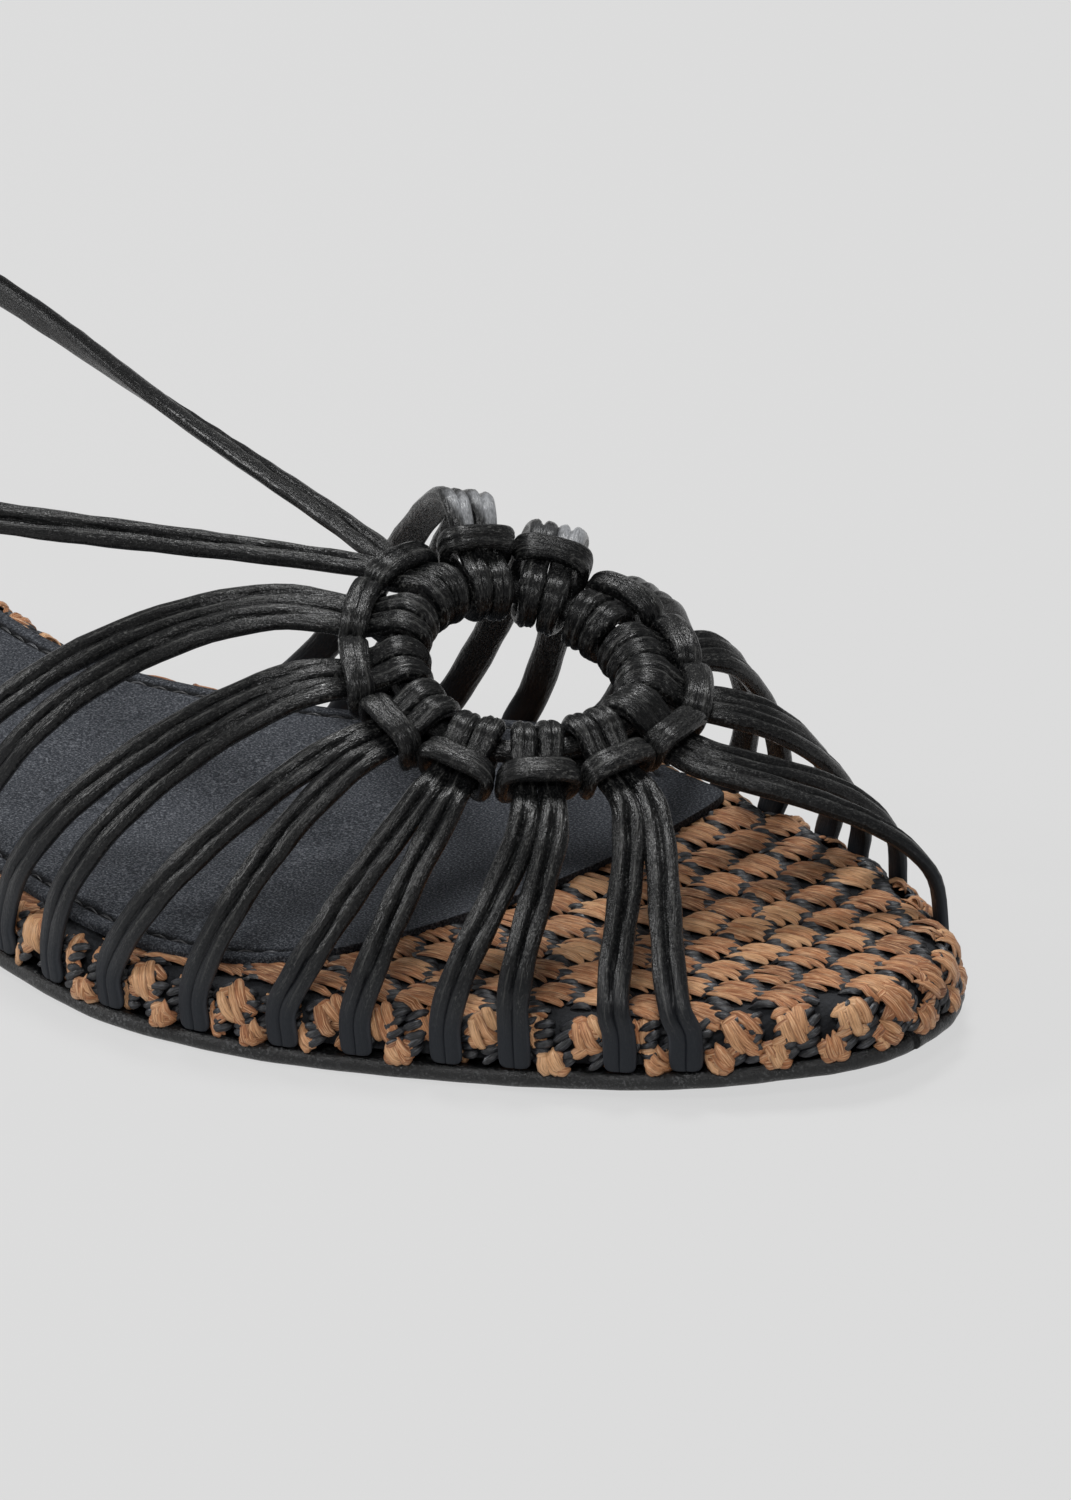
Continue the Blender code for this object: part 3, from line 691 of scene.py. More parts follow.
def lace_skin(rows, closed, seed, bends=()):
    """A lace with two rounded ridges on its outer face and a flat back, with a pale reflection painted near
    sharp bends.
    """
    chance = random.Random(seed)
    phase = chance.uniform(0, 6.28)
    creases = [
        (chance.uniform(-0.34, -0.16), chance.uniform(0.0, 0.12)),
        (chance.uniform(0.14, 0.34), chance.uniform(0.0, 0.16)),
    ]
    rows = finer(rows, closed)
    count = len(rows)
    sections, grain, crest, skived_values, edges, sheen_values = [], [], [], [], [], []
    travelled = chance.uniform(0, 900)
    for i, (point, normal, width, thickness, skived, knotted) in enumerate(rows):
        before = rows[i - 1][0] if i or closed else point
        after = rows[(i + 1) % count][0] if i + 1 < count or closed else point
        along = (after - before).normalized()
        out = (normal - along * normal.dot(along)).normalized()
        across_way = along.cross(out)
        if i:
            travelled += (point - rows[i - 1][0]).length / MM
        skived, knotted = clamped(skived), clamped(knotted)
        wander = 0.04 * math.sin(travelled * 0.31 + phase) + 0.02 * math.sin(travelled * 0.83)
        pinch = 1 + 0.035 * math.sin(travelled * 0.7 + phase) * (1 - skived)
        swell = 1 + 0.05 * math.sin(travelled * 1.1 + 2 * phase) * (1 - skived)
        ring = []
        for share in FACE_ACROSS:
            height, lobe = face_height(share, knotted, wander, creases)
            flat = 0.42 * max(1 - abs(2 * share) ** 5, 0) ** 0.5 - (0.16 if share == 0.0 else 0.0)
            height = height * (1 - skived) + flat * skived
            ring.append(point + across_way * share * width * pinch + out * height * thickness * swell)
            grain.append((share * width / MM, travelled, 0.0))
            crest.append(lobe)
            edges.append(1.0 if abs(share) > 0.45 else 0.0)
        for share in BACK_ACROSS:
            height = -0.5 * max(1 - abs(2 * share) ** 4, 0.0) ** 0.5
            ring.append(point + across_way * share * width * pinch + out * height * thickness)
            grain.append((share * width / MM + 3 * width / MM, travelled, 0.0))
            crest.append(0.0)
            edges.append(0.0)
        sections.append(ring)
        skived_values += [skived] * len(ring)
        near = min([(point - bend).length for bend in bends], default=1.0)
        # Painted reflection: how pale each point near a sharp bend is painted, by the way it faces.
        sheen_near_bend = clamped((PALE_REACH - near) / PALE_FADE)
        for place in ring:
            facing = (place - point).normalized().dot(SHEEN_WAY)
            sheen_values.append(sheen_near_bend * clamped((facing + 0.3) / 0.5))
    skin = Skin()
    skin.loft(sections, closed, grain=grain, crest=crest, skived=skived_values, edge=edges, pale=sheen_values)
    return skin


def build_lace(node, side, strap, material, seed):
    """One lace: a strap up from the sole, a knot round the ring's core, and a strap down again."""
    number, front_share, rear_share, reach, bow = strap
    knot_number = number * side
    outward, along = knot_axes(knot_number)
    turn = knot_turn(knot_number)
    exit_way = outward * math.cos(turn) + RING_OUT * math.sin(turn)
    front_hand = 1 if along.x > 0 else -1
    rows, bends = [], []
    for hand, share in ((front_hand, front_share), (-front_hand, rear_share)):
        half = placed_knot_half(knot_number, hand)
        half_rows = strap_rows(half[0][0], exit_way, share, reach, bow, side) + half
        rows = half_rows if not rows else rows + half_rows[-2::-1]
        if knot_number in PALE_KNOTS and (knot_number == PALE_KNOTS[0] or hand == front_hand):
            bends.append(half[0][0])
    lace_skin(rows, False, seed, bends).piece(f"{node}_leather", material, "lace_leather", node)


SLING_BACK = Vector((SLING_BACK_FROM_HEEL - HEEL_CENTRE, 0, SLING_HEIGHT))


def sling_side(start, table, side):
    points = []
    for share, sideways, climb in table:
        x = start.x + (SLING_BACK.x - start.x) * share
        y = start.y * (1 - share) + side * sideways * ANKLE_HALF_WIDTH
        z = start.z + (SLING_BACK.z - start.z) * climb
        points.append(Vector((x, y, z)))
    return points


def smooth_through(points, steps=3):
    made = []
    for before, a, b, after in zip(points, points[1:], points[2:], points[3:]):
        for i in range(steps):
            t = i / steps
            made.append(bezier((a, a + (b - before) / 6, b - (after - a) / 6, b), t))
    return made


def build_sling(material):
    """The rear lace: a closed loop hitched to the back of the ring, which passes behind the heel."""
    outward, along = knot_axes(0)
    halves, routes = {}, {}
    for side, table in ((LATERAL, SLING_LATERAL), (MEDIAL, SLING_MEDIAL)):
        hand = side if along.y > 0 else -side
        halves[side] = placed_knot_half(0, hand)
        start = halves[side][0][0]
        routes[side] = [start - outward * LACE_WIDTH, start] + sling_side(start, table, side)
    points = routes[LATERAL] + [SLING_BACK] + routes[MEDIAL][::-1]
    loop = smooth_through(points)
    rows = []
    for index, point in enumerate(loop[1:], 1):
        away = Vector((point.x, point.y * 1.8, 0)).normalized()
        lean = min(1.0, index / 9, (len(loop) - index) / 9)
        normal = (UP * (1 - lean) + away * lean).normalized()
        rows.append((point, normal, LACE_WIDTH, LACE_THICKNESS, 0.0, 0.0))
    rows = halves[LATERAL][::-1] + rows + halves[MEDIAL][:-1]
    lace_skin(rows, True, 40).piece("sling_lace_leather", material, "lace_leather", "sling_lace")


def build_laces():
    material = lace_leather()
    for side, side_name, straps in ((LATERAL, "outer", OUTER_STRAPS), (MEDIAL, "inner", INNER_STRAPS)):
        for place, strap in enumerate(straps, 1):
            build_lace(f"lace_{side_name}_{place}", side, strap, material, place + 10 * side)
    build_sling(material)


def build_ring_core():
    """The braided core inside the knots."""
    around, across = 12 * KNOTS, 12
    sections, grain = [], []
    for i in range(around):
        turn = 2 * math.pi * i / around
        outward = math.cos(turn) * RING_FORWARD + math.sin(turn) * RING_ACROSS
        centre = RING_CENTRE + outward * RING_RADIUS + saddle(turn)
        ring = []
        for j in range(across):
            angle = 2 * math.pi * j / across
            offset = outward * math.cos(angle) + RING_OUT * math.sin(angle)
            ring.append(centre + offset * RING_CORE_RADIUS)
            grain.append((j * 0.7, turn * RING_RADIUS / MM, 0.0))
        sections.append(ring)
    skin = Skin()
    skin.loft(sections, True, grain=grain, crest=0.3, skived=0.0, edge=0.0, pale=0.0)
    skin.piece("ring_core_leather", lace_leather("ring_leather"), "ring_leather", "ring_core")


# Footbed surface.
WALL_MM = (FOOTBED_THICKNESS - FOOTBED_RIM_ROUND) / MM
ROUND_MM = FOOTBED_RIM_ROUND * math.pi / 2 / MM
WALL_SWELL_MM = 1.7
LOWEST_MM = 0.2


def rim_path(inset, count=900):
    """Even points round the sole from the heel, outer side first, with their outward ways and the length."""
    angles = [math.pi * i / count for i in range(count + 1)]
    points = [inset_point(angle, LATERAL, inset) for angle in angles]
    points += [inset_point(angle, MEDIAL, inset) for angle in angles[::-1]]
    points = np.array([point[:2] for point in points])
    steps = np.linalg.norm(np.diff(points, axis=0), axis=1)
    keep = np.concatenate(([True], steps > 1e-7))
    points = points[keep]
    lengths = np.concatenate(([0], np.cumsum(np.linalg.norm(np.diff(points, axis=0), axis=1))))
    even = np.linspace(0, lengths[-1], count, endpoint=False)
    path = np.stack([np.interp(even, lengths, points[:, k]) for k in (0, 1)], axis=1)
    reach = 3
    along = np.roll(path, -reach, axis=0) - np.roll(path, reach, axis=0)
    along /= np.linalg.norm(along, axis=1)[:, None]
    outward = np.stack([along[:, 1], -along[:, 0]], axis=1)
    if np.mean(np.sum(outward * (path - path.mean(axis=0)), axis=1)) < 0:
        outward = -outward
    return path, outward, lengths[-1] / MM


RIM, RIM_OUT, RIM_MM = rim_path(FOOTBED_LEDGE)


def strap_places():
    """Where the straps cross the footbed's rim, in mm along it."""
    places = []
    for side, straps in ((LATERAL, OUTER_STRAPS), (MEDIAL, INNER_STRAPS)):
        for _, front, rear, _, _ in straps:
            for share in (front, rear):
                point = inset_point(station_angle(share), side, FOOTBED_LEDGE)
                gaps = np.hypot(*(RIM - (point.x, point.y)).T)
                places.append(int(np.argmin(gaps)) / len(RIM) * RIM_MM)
    return np.array(places)


STRAP_PLACES = strap_places()


def pressed(u, reach=2.1, ease=1.5):
    """How far a strap presses the weave flat at this place along the rim, from 0 to 1."""
    gap = np.abs((u - STRAP_PLACES + RIM_MM / 2) % RIM_MM - RIM_MM / 2).min()
    return clamped((reach + ease - gap) / ease)


def rim_section(v):
    """The turn of the footbed's surface, its inset and its height, v mm up the wall and over the rim."""
    if v < WALL_MM:
        return 0.0, 0.0, v * MM
    if v < WALL_MM + ROUND_MM:
        turn = (v - WALL_MM) * MM / FOOTBED_RIM_ROUND
        inset = FOOTBED_RIM_ROUND * (1 - math.cos(turn))
        return turn, inset, FOOTBED_THICKNESS - FOOTBED_RIM_ROUND * (1 - math.sin(turn))
    return math.pi / 2, FOOTBED_RIM_ROUND + (v - WALL_MM - ROUND_MM) * MM, FOOTBED_THICKNESS


def rim_place(u, v, h):
    """A point on the footbed's edge, u mm along it, v mm up it and h mm proud of it. Also the normal.

    The weave fills out over the outsole between the straps, most at the foot of the wall.
    """
    v = max(v, LOWEST_MM)
    h += WALL_SWELL_MM * (1 - pressed(u)) * clamped(1 - v / (WALL_MM + ROUND_MM))
    spot = (u / RIM_MM * len(RIM)) % len(RIM)
    i = int(spot)
    j, t = (i + 1) % len(RIM), spot - i
    base = RIM[i] * (1 - t) + RIM[j] * t
    out = RIM_OUT[i] * (1 - t) + RIM_OUT[j] * t
    outward = Vector((out[0], out[1], 0)).normalized()
    turn, inset, height = rim_section(v)
    normal = outward * math.cos(turn) + UP * math.sin(turn)
    point = Vector((base[0], base[1], 0)) - outward * inset
    point.z = ground_clearance(point.x) + FOOTBED_BASE + height
    return point + normal * h * MM, normal


def nearest_edge(x, y, path):
    """Distance in mm inside a closed path (negative outside), and the nearest point's number."""
    gaps = path - (x, y)
    distances = np.hypot(gaps[:, 0], gaps[:, 1])
    nearest = int(np.argmin(distances))
    ahead = path[(nearest + 1) % len(path)] - path[nearest - 1]
    turn = ahead[0] * gaps[nearest][1] - ahead[1] * gaps[nearest][0]
    return distances[nearest] / MM * (1 if turn < 0 else -1), nearest


def top_place(x, y, h):
    """A point on the footbed's top, h mm proud of it, which drapes over the rim. Also the normal."""
    inside, nearest = nearest_edge(x, y, RIM)
    if inside * MM >= FOOTBED_RIM_ROUND:
        return Vector((x, y, ground_clearance(x) + FOOTBED_TOP + h * MM)), UP
    v = WALL_MM + ROUND_MM - (FOOTBED_RIM_ROUND / MM - inside)
    u = nearest / len(RIM) * RIM_MM
    return rim_place(u, v, h)


def sock_sides(inset, stations=64, front_steps=26):
    """Rows of the sock from heel to front: its outer and inner edge points."""
    front_length = 4 * SOCK_FRONT_SWEEP
    front_start = SOCK_FRONT_FROM_HEEL - front_length
    first, last = TIP_ANGLE, station_angle(front_start / SOLE_LENGTH)
    rows = []
    for i in range(stations):
        angle = first + (last - first) * i / (stations - 1)
        rows.append({side: inset_point(angle, side, inset) for side in (LATERAL, MEDIAL)})
    for step in range(1, front_steps + 1):
        short = front_length * (1 - step / (front_steps + 0.35)) ** 2
        angle = station_angle((SOCK_FRONT_FROM_HEEL - short) / SOLE_LENGTH)
        row = {side: outline_point(angle, side) for side in (LATERAL, MEDIAL)}
        rows.append({side: row[side] - Vector((0, side * inset, 0)) for side in row})
    return [{side: sock_edge(row[side], side) for side in row} for row in rows]


SOCK_ROWS = sock_sides(FOOTBED_LEDGE + SOCK_MARGIN)
SOCK_PATH = np.array([row[LATERAL][:2] for row in SOCK_ROWS] + [row[MEDIAL][:2] for row in SOCK_ROWS[::-1]])


def sole_rings(first, last, stations, profile, level=ground_clearance):
    """Rings of points along the sole. The profile gives (inset, height) steps at an angle and side."""
    rings = []
    for i in range(stations):
        angle = first + (last - first) * i / (stations - 1)
        ring = []
        for side in (LATERAL, MEDIAL):
            steps = profile(angle, side)
            for inset, height in steps if side == LATERAL else steps[::-1]:
                point = inset_point(angle, side, inset)
                point.z = level(point.x) + height
                ring.append(point)
        rings.append(ring)
    return rings


def build_weave_ground():
    """The dark body under the weave, a little inside the footbed's own surface."""
    sunk = 0.00045
    steps = []
    for v in np.linspace(LOWEST_MM, WALL_MM + ROUND_MM, 12):
        turn, inset, height = rim_section(v)
        inset += FOOTBED_LEDGE + sunk * math.cos(turn)
        steps.append((inset, FOOTBED_BASE + height - sunk * math.sin(turn)))
    skin = Skin()
    skin.loft(sole_rings(TIP_ANGLE, math.pi - TIP_ANGLE, 120, lambda angle, side: steps))
    skin.piece("weave_ground", ground_cloth(), "woven_fibre", "footbed")


# Weave.
STRAND_SECTION = ((-0.5, -0.1), (-0.36, 0.55), (0.0, 0.8), (0.36, 0.55), (0.5, -0.1), (0.0, -0.6))
# Along a strand: the share of its length, of its width and of its rise.
STRAND_SHAPE = (
    (0.0, 0.15, 0.0), (0.1, 0.5, 0.45), (0.24, 0.85, 0.82), (0.42, 1.0, 1.0),
    (0.62, 1.0, 1.0), (0.8, 0.96, 0.85), (0.93, 0.76, 0.5), (1.0, 0.4, 0.0),
)


def strand(skin, place, start, end, width, crown, thickness, chance, tint=0.0, sag=-0.3, bend=0.0):
    """One flat fibre on a surface, arched from a pointed start to a rounded end, in the surface's own mm."""
    start, end = np.array(start, float), np.array(end, float)
    way = end - start
    length = np.linalg.norm(way)
    way /= length
    aside = np.array((-way[1], way[0]))
    roll = chance.uniform(-0.3, 0.3)
    lag = chance.uniform(0, 500)
    sections, grain, edges = [], [], []
    centres = []
    for t, narrow, rise in STRAND_SHAPE:
        at = start + way * length * t + aside * bend * math.sin(math.pi * t)
        point, normal = place(at[0], at[1], sag + (crown - sag) * rise)
        centres.append((point, normal, narrow, t))
    for i, (point, normal, narrow, t) in enumerate(centres):
        ahead = centres[min(i + 1, len(centres) - 1)][0] - centres[max(i - 1, 0)][0]
        ahead.normalize()
        out = (normal - ahead * normal.dot(ahead)).normalized()
        across = ahead.cross(out)
        across = (across * math.cos(roll) + out * math.sin(roll)).normalized()
        out = across.cross(ahead)
        ring = []
        for sideways, high in STRAND_SECTION:
            ring.append(point + (across * sideways * width * narrow + out * high * thickness * narrow) * MM)
            grain.append((sideways * width + lag, t * length, 0.0))
            edges.append(abs(2 * sideways))
        sections.append(ring)
    skin.loft(sections, grain=grain, tint=tint, edge=edges)


def flat_place(x_mm, y_mm, h):
    return top_place(x_mm * MM, y_mm * MM, h)


# The lattice of stitches on the top, in mm in plan: two steps, a phase, and a stitch's run and width.
LATTICE_A = (6.45, 1.50)
LATTICE_B = (6.35, -4.95)
LATTICE_START = (199.1, 7.5)
STITCH_RUN = (7.9, 0.3)
STITCH_WIDTH = 4.7
STITCH_STRANDS = 5
STRAND_WIDTH = 1.4
STITCH_SAG = -0.25
STITCH_FROM_RIM = 1.2
STITCH_UNDER_SOCK = 4.5
LATTICE_REACH = 45
CORDS = 5


def stitch(skin, place, centre, run, width, strands, crown, chance, tint, strand_width, thickness=0.36):
    """A bundle of overlapping fibres side by side, with stepped ends."""
    run = np.array(run, float)
    length = np.linalg.norm(run)
    way = run / length
    aside = np.array((-way[1], way[0]))
    for k in range(strands):
        share = (k + 0.5) / strands - 0.5
        slide = 0.15 * length * (1 if k % 2 else -1) * chance.uniform(0.2, 1.0)
        shorten = 1 - 0.8 * abs(share) ** 1.5
        middle = np.array(centre) + aside * width * share + way * slide * 0.5
        half = way * length / 2 * shorten
        fan = aside * chance.uniform(-0.45, 0.45)
        high = crown * (1 - 0.9 * share * share) + chance.uniform(-0.13, 0.13)
        wide = strand_width * chance.uniform(0.8, 1.2)
        shade = clamped(tint + chance.uniform(-0.28, 0.28))
        bend = chance.uniform(-0.2, 0.2)
        start, end = middle - half - fan, middle + half + fan
        strand(skin, place, start, end, wide, high, thickness, chance, shade, STITCH_SAG, bend)


def build_top_weave(fibre, cord):
    """Rows of raffia stitches with black cord between them, in front of the sock and along its sides."""
    stitches, cords = Skin(), Skin()
    chance = random.Random(7)
    numbers = range(-LATTICE_REACH, LATTICE_REACH + 1)
    for i in numbers:
        for j in numbers:
            x = LATTICE_START[0] + i * LATTICE_A[0] + j * LATTICE_B[0]
            y = LATTICE_START[1] + i * LATTICE_A[1] + j * LATTICE_B[1]
            if not (-30 < x < 216 and -48 < y < 48):
                continue
            inside, nearest = nearest_edge(x * MM, y * MM, RIM)
            under = nearest_edge(x * MM, y * MM, SOCK_PATH)[0]
            if inside < STITCH_FROM_RIM or under > STITCH_UNDER_SOCK:
                continue
            u = nearest / len(RIM) * RIM_MM
            flat = pressed(u) if inside < 4 else 0.0
            centre = (x + chance.uniform(-0.35, 0.35), y + chance.uniform(-0.25, 0.25))
            run = (STITCH_RUN[0] * chance.uniform(0.93, 1.05), STITCH_RUN[1] + chance.uniform(-0.5, 0.5))
            crown = 0.42 * (1 - 1.2 * flat) - (0.15 if under > 0 else 0.0)
            tint = chance.uniform(0.2, 0.85)
            size = (STITCH_WIDTH, STITCH_STRANDS)
            stitch(stitches, flat_place, centre, run, *size, crown, chance, tint, STRAND_WIDTH)
            for k in range(CORDS):
                t = (k + 0.5) / CORDS
                cx, cy = x + LATTICE_B[0] * t, y + 3.2 + LATTICE_B[1] * t
                if nearest_edge(cx * MM, cy * MM, RIM)[0] < 0.8:
                    continue
                dx, dy = 1.35 + chance.uniform(-0.25, 0.25), 0.75 + chance.uniform(-0.3, 0.3)
                ends = (cx - dx, cy - dy), (cx + dx, cy + dy)
                strand(cords, flat_place, *ends, 1.15, 0.12, 0.5, chance, 0.0, -0.5)
    stitches.piece("weave_stitches", fibre, "woven_fibre", "footbed")
    cords.piece("weave_cords", cord, "woven_fibre", "footbed")


# The rim's bundles: the pitch of a row in mm, then each row's height on the wall and its bundles' size.
RIM_PITCH = 6.4
RIM_ROWS = ((4.3, 1.0), (1.1, 0.72))


def build_rim_weave(fibre, cord):
    """Two staggered rows of slanted bundles round the footbed's edge, with pointed fibres and black knots."""
    bundles, knots = Skin(), Skin()
    chance = random.Random(11)
    count = round(RIM_MM / RIM_PITCH)
    step = RIM_MM / count
    for i in range(2 * count):
        row_height, size = RIM_ROWS[i % 2]
        u = (i + chance.uniform(-0.2, 0.2)) * step / 2
        flat = pressed(u)
        crown = 0.6 * (1 - flat) - 0.1 * flat
        # Painted light: the rim's tints come from the lighter end, for the front-lit side wall; the spread
        # between bundles is their own.
        tint = chance.uniform(0.45, 1.0)
        middle = row_height + chance.uniform(-0.3, 0.3)
        for k in range(3):
            for hand in (-1, 1):
                root_u = u + chance.uniform(-0.4, 0.3)
                root_v = middle + size * (1.3 - 1.2 * k) + chance.uniform(-0.3, 0.3)
                root = (root_u, root_v)
                tip_u = root_u + hand * size * chance.uniform(1.9, 2.9)
                tip = (tip_u, root_v - size * chance.uniform(0.2, 1.8))
                shade = clamped(tint + chance.uniform(-0.45, 0.1))
                start, end = (tip, root) if hand < 0 or chance.random() < 0.5 else (root, tip)
                strand(bundles, rim_place, start, end, 1.6, crown - 0.3, 0.34, chance, shade)
        run = (size * (2.6 + chance.uniform(-1.5, 1.2)), size * (-4.4 + chance.uniform(-0.5, 0.6)))
        stitch(bundles, rim_place, (u, middle), run, 3.0 * size, 3, crown, chance, tint, 1.5, 0.34)
        for k in range(CORDS):
            at_u, at_v = u + step / 4 + chance.uniform(-0.4, 0.4), 1.0 + k
            du, dv = 1.3 + chance.uniform(-0.3, 0.3), 0.6 + chance.uniform(-0.4, 0.4)
            ends = (at_u - du, at_v - dv), (at_u + du, at_v + dv)
            strand(knots, rim_place, *ends, 1.1, 0.15, 0.5, chance, 0.0, -0.4)
    bundles.piece("weave_rim", fibre, "woven_fibre", "footbed")
    knots.piece("weave_rim_knots", cord, "woven_fibre", "footbed")


# Sock.
GROOVE_INSET = 0.0026
GROOVE_WIDTH = 0.0007
GROOVE_DEPTH = 0.00045
SOCK_EDGE_ROUND = 0.00025
SOCK_SHOULDER = SOCK_FRONT_FROM_HEEL - HEEL_CENTRE - SOCK_FRONT_SWEEP
GROOVE_END_GAP = 0.003
GROOVE_LIP = -0.00012 / GROOVE_DEPTH
# Across the groove: shares of its width from its middle, of its depth, and of the seam's darkness.
GROOVE_SHAPE = (
    (-1.4, GROOVE_LIP, 0.0), (-0.5, 0.3, 0.9), (0.0, 1.0, 1.0), (0.5, 0.3, 0.9), (1.4, GROOVE_LIP, 0.0),
)


def sock_profile(half, groove):
    """Half of the sock from its edge to the middle: (inset from its edge, height, darkness: most in the
    seam's groove, some on the cut edge).
    """
    steps = [
        (0.0, 0.0, 0.4),
        (0.0, SOCK_THICKNESS - SOCK_EDGE_ROUND, 0.4),
        (SOCK_EDGE_ROUND, SOCK_THICKNESS, 0.3),
    ]
    for across, depth, seam in GROOVE_SHAPE:
        inset = GROOVE_INSET + across * GROOVE_WIDTH
        steps.append((inset, SOCK_THICKNESS - depth * GROOVE_DEPTH * groove, seam * groove))
    inner = steps[-1][0]
    steps += [(inner + (half - inner) * share, SOCK_THICKNESS, 0.0) for share in (0.3, 0.65)]
    return [(min(inset, half * 0.96), height, seam) for inset, height, seam in steps]


def build_sock(leather):
    """The leather sock: thin cut edges and a stitched groove along both sides."""
    sections, seams = [], []
    for row in SOCK_ROWS:
        half = (row[MEDIAL] - row[LATERAL]).length / 2
        to_front = SOCK_SHOULDER - row[LATERAL].x
        groove = clamped((to_front - GROOVE_END_GAP) / 0.002) * min(half / 0.012, 1.0)
        ring = []
        for side in (LATERAL, MEDIAL):
            profile = sock_profile(half, groove)
            for inset, height, seam in profile if side == LATERAL else profile[::-1]:
                point = row[side] - Vector((0, side * inset, 0))
                point.z = ground_clearance(point.x) + SOCK_BASE + height
                ring.append(point)
                seams.append(seam)
        sections.append(ring)
    skin = Skin()
    skin.loft(sections, seam=seams)
    skin.piece("insole_sock_leather", leather, "sock_leather", "insole_sock", sharp_degrees=40)


STITCH_LENGTH = 0.0024
STITCH_GAP = 0.0006
STITCH_RINGS = 7
THREAD_RADIUS = 0.00022
THREAD_SUNK = 0.00042
THREAD_RISE = 0.00026


def build_sock_thread(material):
    """Sewn thread in the groove, one small pad for each stitch."""
    skin = Skin()
    chance = random.Random(3)
    for side in (LATERAL, MEDIAL):
        route = []
        for row in SOCK_ROWS:
            if row[side].x < SOCK_SHOULDER - GROOVE_END_GAP:
                route.append(row[side] - Vector((0, side * GROOVE_INSET, 0)))
        lengths = [0.0]
        for a, b in zip(route, route[1:]):
            lengths.append(lengths[-1] + (b - a).length)
        spot = 0.006
        while spot < lengths[-1] - 0.003:
            rows = []
            for k in range(STITCH_RINGS):
                share = k / (STITCH_RINGS - 1)
                at = spot + STITCH_LENGTH * share
                x = np.interp(at, lengths, [p.x for p in route])
                y = np.interp(at, lengths, [p.y for p in route])
                swell = math.sin(math.pi * share)
                z = ground_clearance(x) + SOCK_BASE + SOCK_THICKNESS - THREAD_SUNK + THREAD_RISE * swell
                rows.append((Vector((x, y, z)), THREAD_RADIUS * (0.4 + 0.6 * swell)))
            sections = []
            for k, (point, radius) in enumerate(rows):
                along = (rows[min(k + 1, STITCH_RINGS - 1)][0] - rows[max(k - 1, 0)][0]).normalized()
                across = UP.cross(along).normalized()
                out = along.cross(across)
                turns = [2 * math.pi * n / 8 for n in range(8)]
                sections.append([point + (across * math.cos(t) + out * math.sin(t)) * radius for t in turns])
            skin.loft(sections, grain=(chance.uniform(0, 90), 0.0, 0.0))
            spot += STITCH_LENGTH + STITCH_GAP
    skin.piece("insole_sock_thread", material, "sock_leather", "insole_sock")


# Outsole and heel lift.
BEAD_ROUND = 0.00095
BEAD_TIP_ANGLE = 0.0105
BEAD_EASE = 0.00005
SOLE_STEP = 0.0016
SOLE_INNER = 0.0034
SOLE_TOP = OUTSOLE_THICKNESS - 0.0002
LIFT_INSET = 0.0007
LIFT_SOFT = 0.0003


def build_outsole():
    """The thin outsole with a rounded, slightly uneven bead for an edge."""
    half = OUTSOLE_THICKNESS / 2
    shape = [(SOLE_INNER, 0.0), (SOLE_STEP, 0.0)]
    for degrees in range(-90, 91, 18):
        turn = math.radians(degrees)
        shape.append((BEAD_ROUND * (1 - math.cos(turn)), half + half * math.sin(turn)))
    shape += [(0.0013, OUTSOLE_THICKNESS - 0.00008), (SOLE_STEP, SOLE_TOP), (SOLE_INNER, SOLE_TOP)]

    def profile(angle, side):
        ripple = 0.00006 * math.sin(angle * 37 + side) + 0.00005 * math.sin(angle * 83 + 2 * side)
        return [(inset + BEAD_EASE + (ripple if inset < 0.001 else 0), height) for inset, height in shape]

    skin = Skin()
    skin.loft(sole_rings(BEAD_TIP_ANGLE, math.pi - BEAD_TIP_ANGLE, 170, profile))
    skin.piece("outsole_bead", bead_leather(), "outsole_rubber", "outsole")


def build_heel_lift():
    """The low lift under the heel, with softened edges."""

    def profile(angle, side):
        top = ground_clearance(inset_point(angle, side, LIFT_INSET).x) - FIT_GAP
        soft = LIFT_INSET + LIFT_SOFT
        return [(soft, 0.0), (LIFT_INSET, LIFT_SOFT), (LIFT_INSET, top - LIFT_SOFT), (soft, top)]

    end_angle = station_angle(HEEL_LIFT_LENGTH / SOLE_LENGTH)
    skin = Skin()
    skin.loft(sole_rings(TIP_ANGLE, end_angle, 60, profile, level=lambda x: 0.0))
    skin.piece("heel_lift_rubber", lift_rubber(), "heel_rubber", "heel_lift", sharp_degrees=35)


# Camera, floor and light.
CAMERA_ELEVATION_DEG = 23.27
CAMERA_HEADING_DEG = 43.09
CAMERA_ROLL_DEG = 2.94
CAMERA_DISTANCE = 2.494
CAMERA_LENS_MM = 494.5
CAMERA_SENSOR_MM = 36.0
BALL_FROM_HEEL = 0.1764
AIM_RIGHT = 0.00547
AIM_UP = 0.0233
FLOOR_SIZE = 12.0
FLOOR_DROP = 0.0002
LAMP_TARGET = (0.14, 0, 0.02)
# Name, place, size and power.
LAMPS = (
    ("top_lamp", (-0.15, 0.35, 1.4), 0.4, 15),
    ("front_lamp", (0.9, -0.9, 1.2), 0.35, 10),
    ("side_lamp", (-0.9, -0.7, 0.7), 0.4, 8),
)


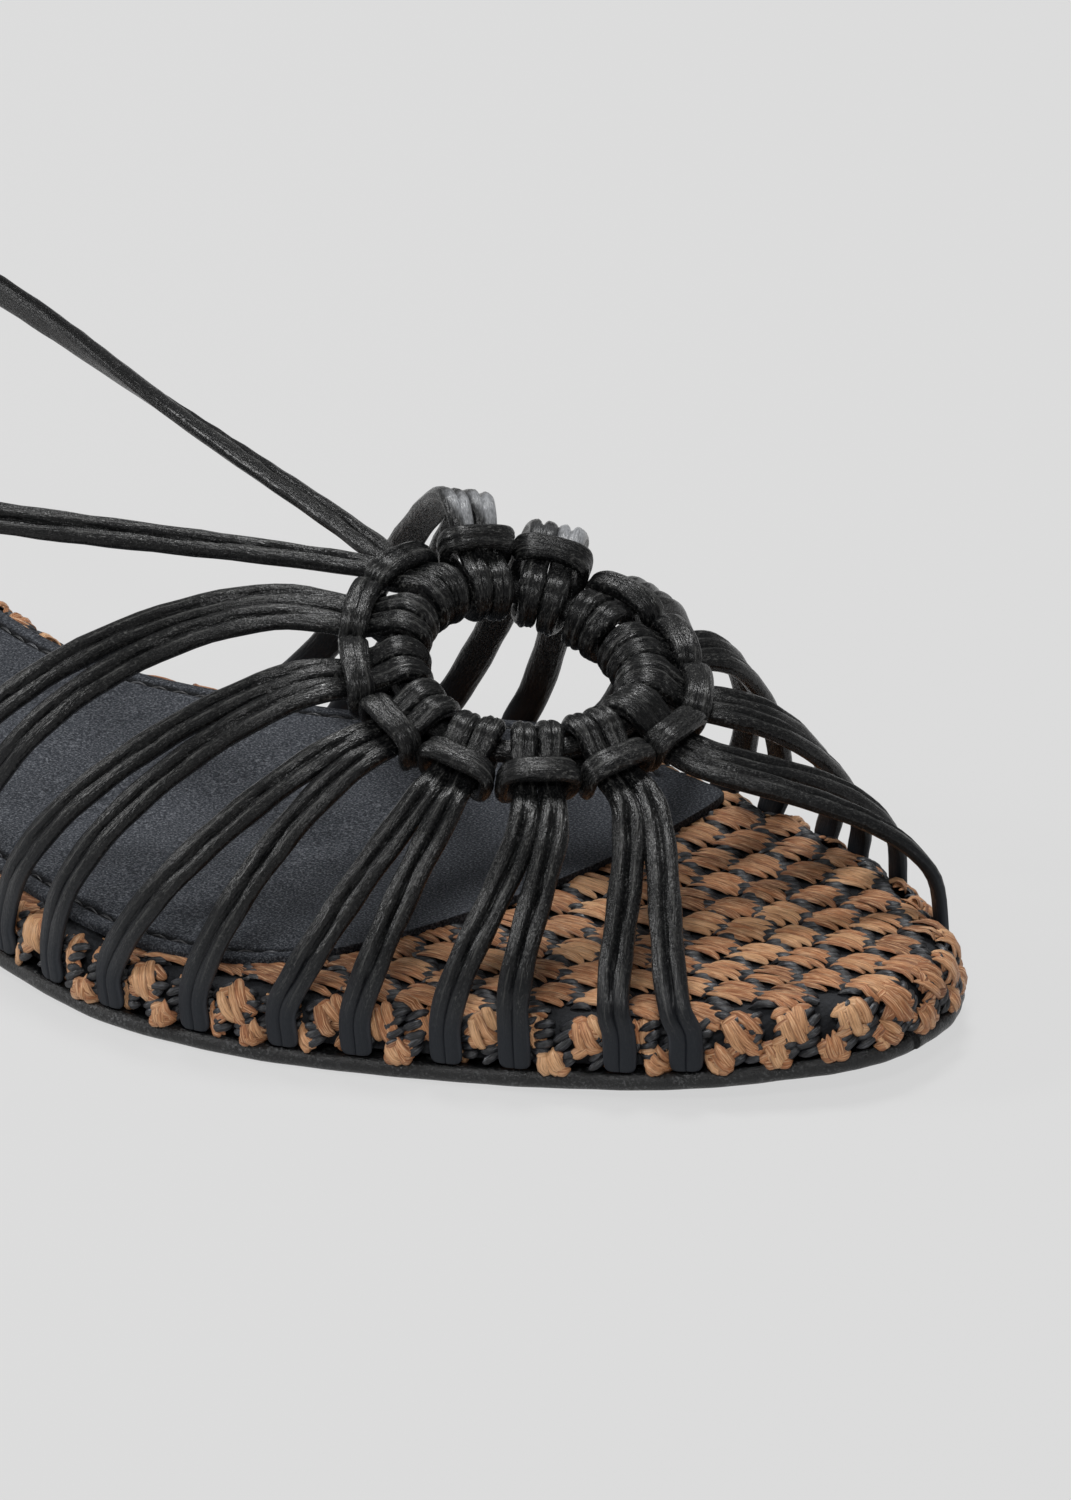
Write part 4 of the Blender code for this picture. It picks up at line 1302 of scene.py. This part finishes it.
def build_camera():
    """The camera at the photograph's angle, looking at the forepart."""
    heading, elevation, roll = map(math.radians, (CAMERA_HEADING_DEG, CAMERA_ELEVATION_DEG, CAMERA_ROLL_DEG))
    level = math.cos(elevation)
    forward = Vector((-math.sin(heading) * level, math.cos(heading) * level, -math.sin(elevation)))
    level_right = Vector((math.cos(heading), math.sin(heading), 0))
    level_up = level_right.cross(forward)
    right = level_right * math.cos(roll) - level_up * math.sin(roll)
    up = level_right * math.sin(roll) + level_up * math.cos(roll)
    ball = Vector((BALL_FROM_HEEL - HEEL_CENTRE, 0, 0))
    place = ball - forward * CAMERA_DISTANCE
    look = (ball + right * AIM_RIGHT + up * AIM_UP - place).normalized()
    right = (right - look * right.dot(look)).normalized()
    up = right.cross(look)
    data = bpy.data.cameras.new("camera")
    data.sensor_fit = "VERTICAL"
    data.sensor_height = CAMERA_SENSOR_MM
    data.lens = CAMERA_LENS_MM
    camera = bpy.data.objects.new("camera", data)
    bpy.context.scene.collection.objects.link(camera)
    turned = Matrix((right, up, -look)).transposed().to_4x4()
    camera.matrix_world = Matrix.Translation(place) @ turned
    bpy.context.scene.camera = camera


def area_light(name, place, size, power):
    data = bpy.data.lights.new(name, "AREA")
    data.shape = "SQUARE"
    data.size = size
    data.energy = power
    light = bpy.data.objects.new(name, data)
    bpy.context.scene.collection.objects.link(light)
    way = Vector(place) - Vector(LAMP_TARGET)
    light.matrix_world = Matrix.Translation(place) @ way.to_track_quat("Z", "Y").to_matrix().to_4x4()


def build_stage():
    """A pale floor, soft light from all round, and large lamps above."""
    mesh = bpy.data.meshes.new("floor")
    far = FLOOR_SIZE / 2
    mesh.from_pydata([(-far, -far, 0), (far, -far, 0), (far, far, 0), (-far, far, 0)], [], [(0, 1, 2, 3)])
    floor = bpy.data.objects.new("floor", mesh)
    bpy.context.scene.collection.objects.link(floor)
    floor.location.z = -FLOOR_DROP
    pale = Recipe("floor", Roughness=0.9, Specular_IOR_Level=0.0)
    pale.set(pale.shader, "Base Color", (0.08, 0.08, 0.08, 1))
    pale.set(pale.shader, "Emission Color", (1.0, 1.0, 1.0, 1))
    pale.set(pale.shader, "Emission Strength", 0.613)
    mesh.materials.append(pale.material)

    world = bpy.data.worlds.new("studio")
    world.use_nodes = True
    background = world.node_tree.nodes["Background"]
    background.inputs["Color"].default_value = (0.9, 0.9, 0.9, 1)
    background.inputs["Strength"].default_value = 0.25
    bpy.context.scene.world = world

    for lamp in LAMPS:
        area_light(*lamp)
    bpy.context.scene.view_settings.view_transform = "Standard"


def build_sandal():
    fibre, cord = raffia(), black_cord()
    build_heel_lift()
    build_outsole()
    build_weave_ground()
    build_top_weave(fibre, cord)
    build_rim_weave(fibre, cord)
    build_sock(sock_leather())
    build_sock_thread(cord)
    build_ring_core()
    build_laces()


build_camera()
build_stage()
build_sandal()
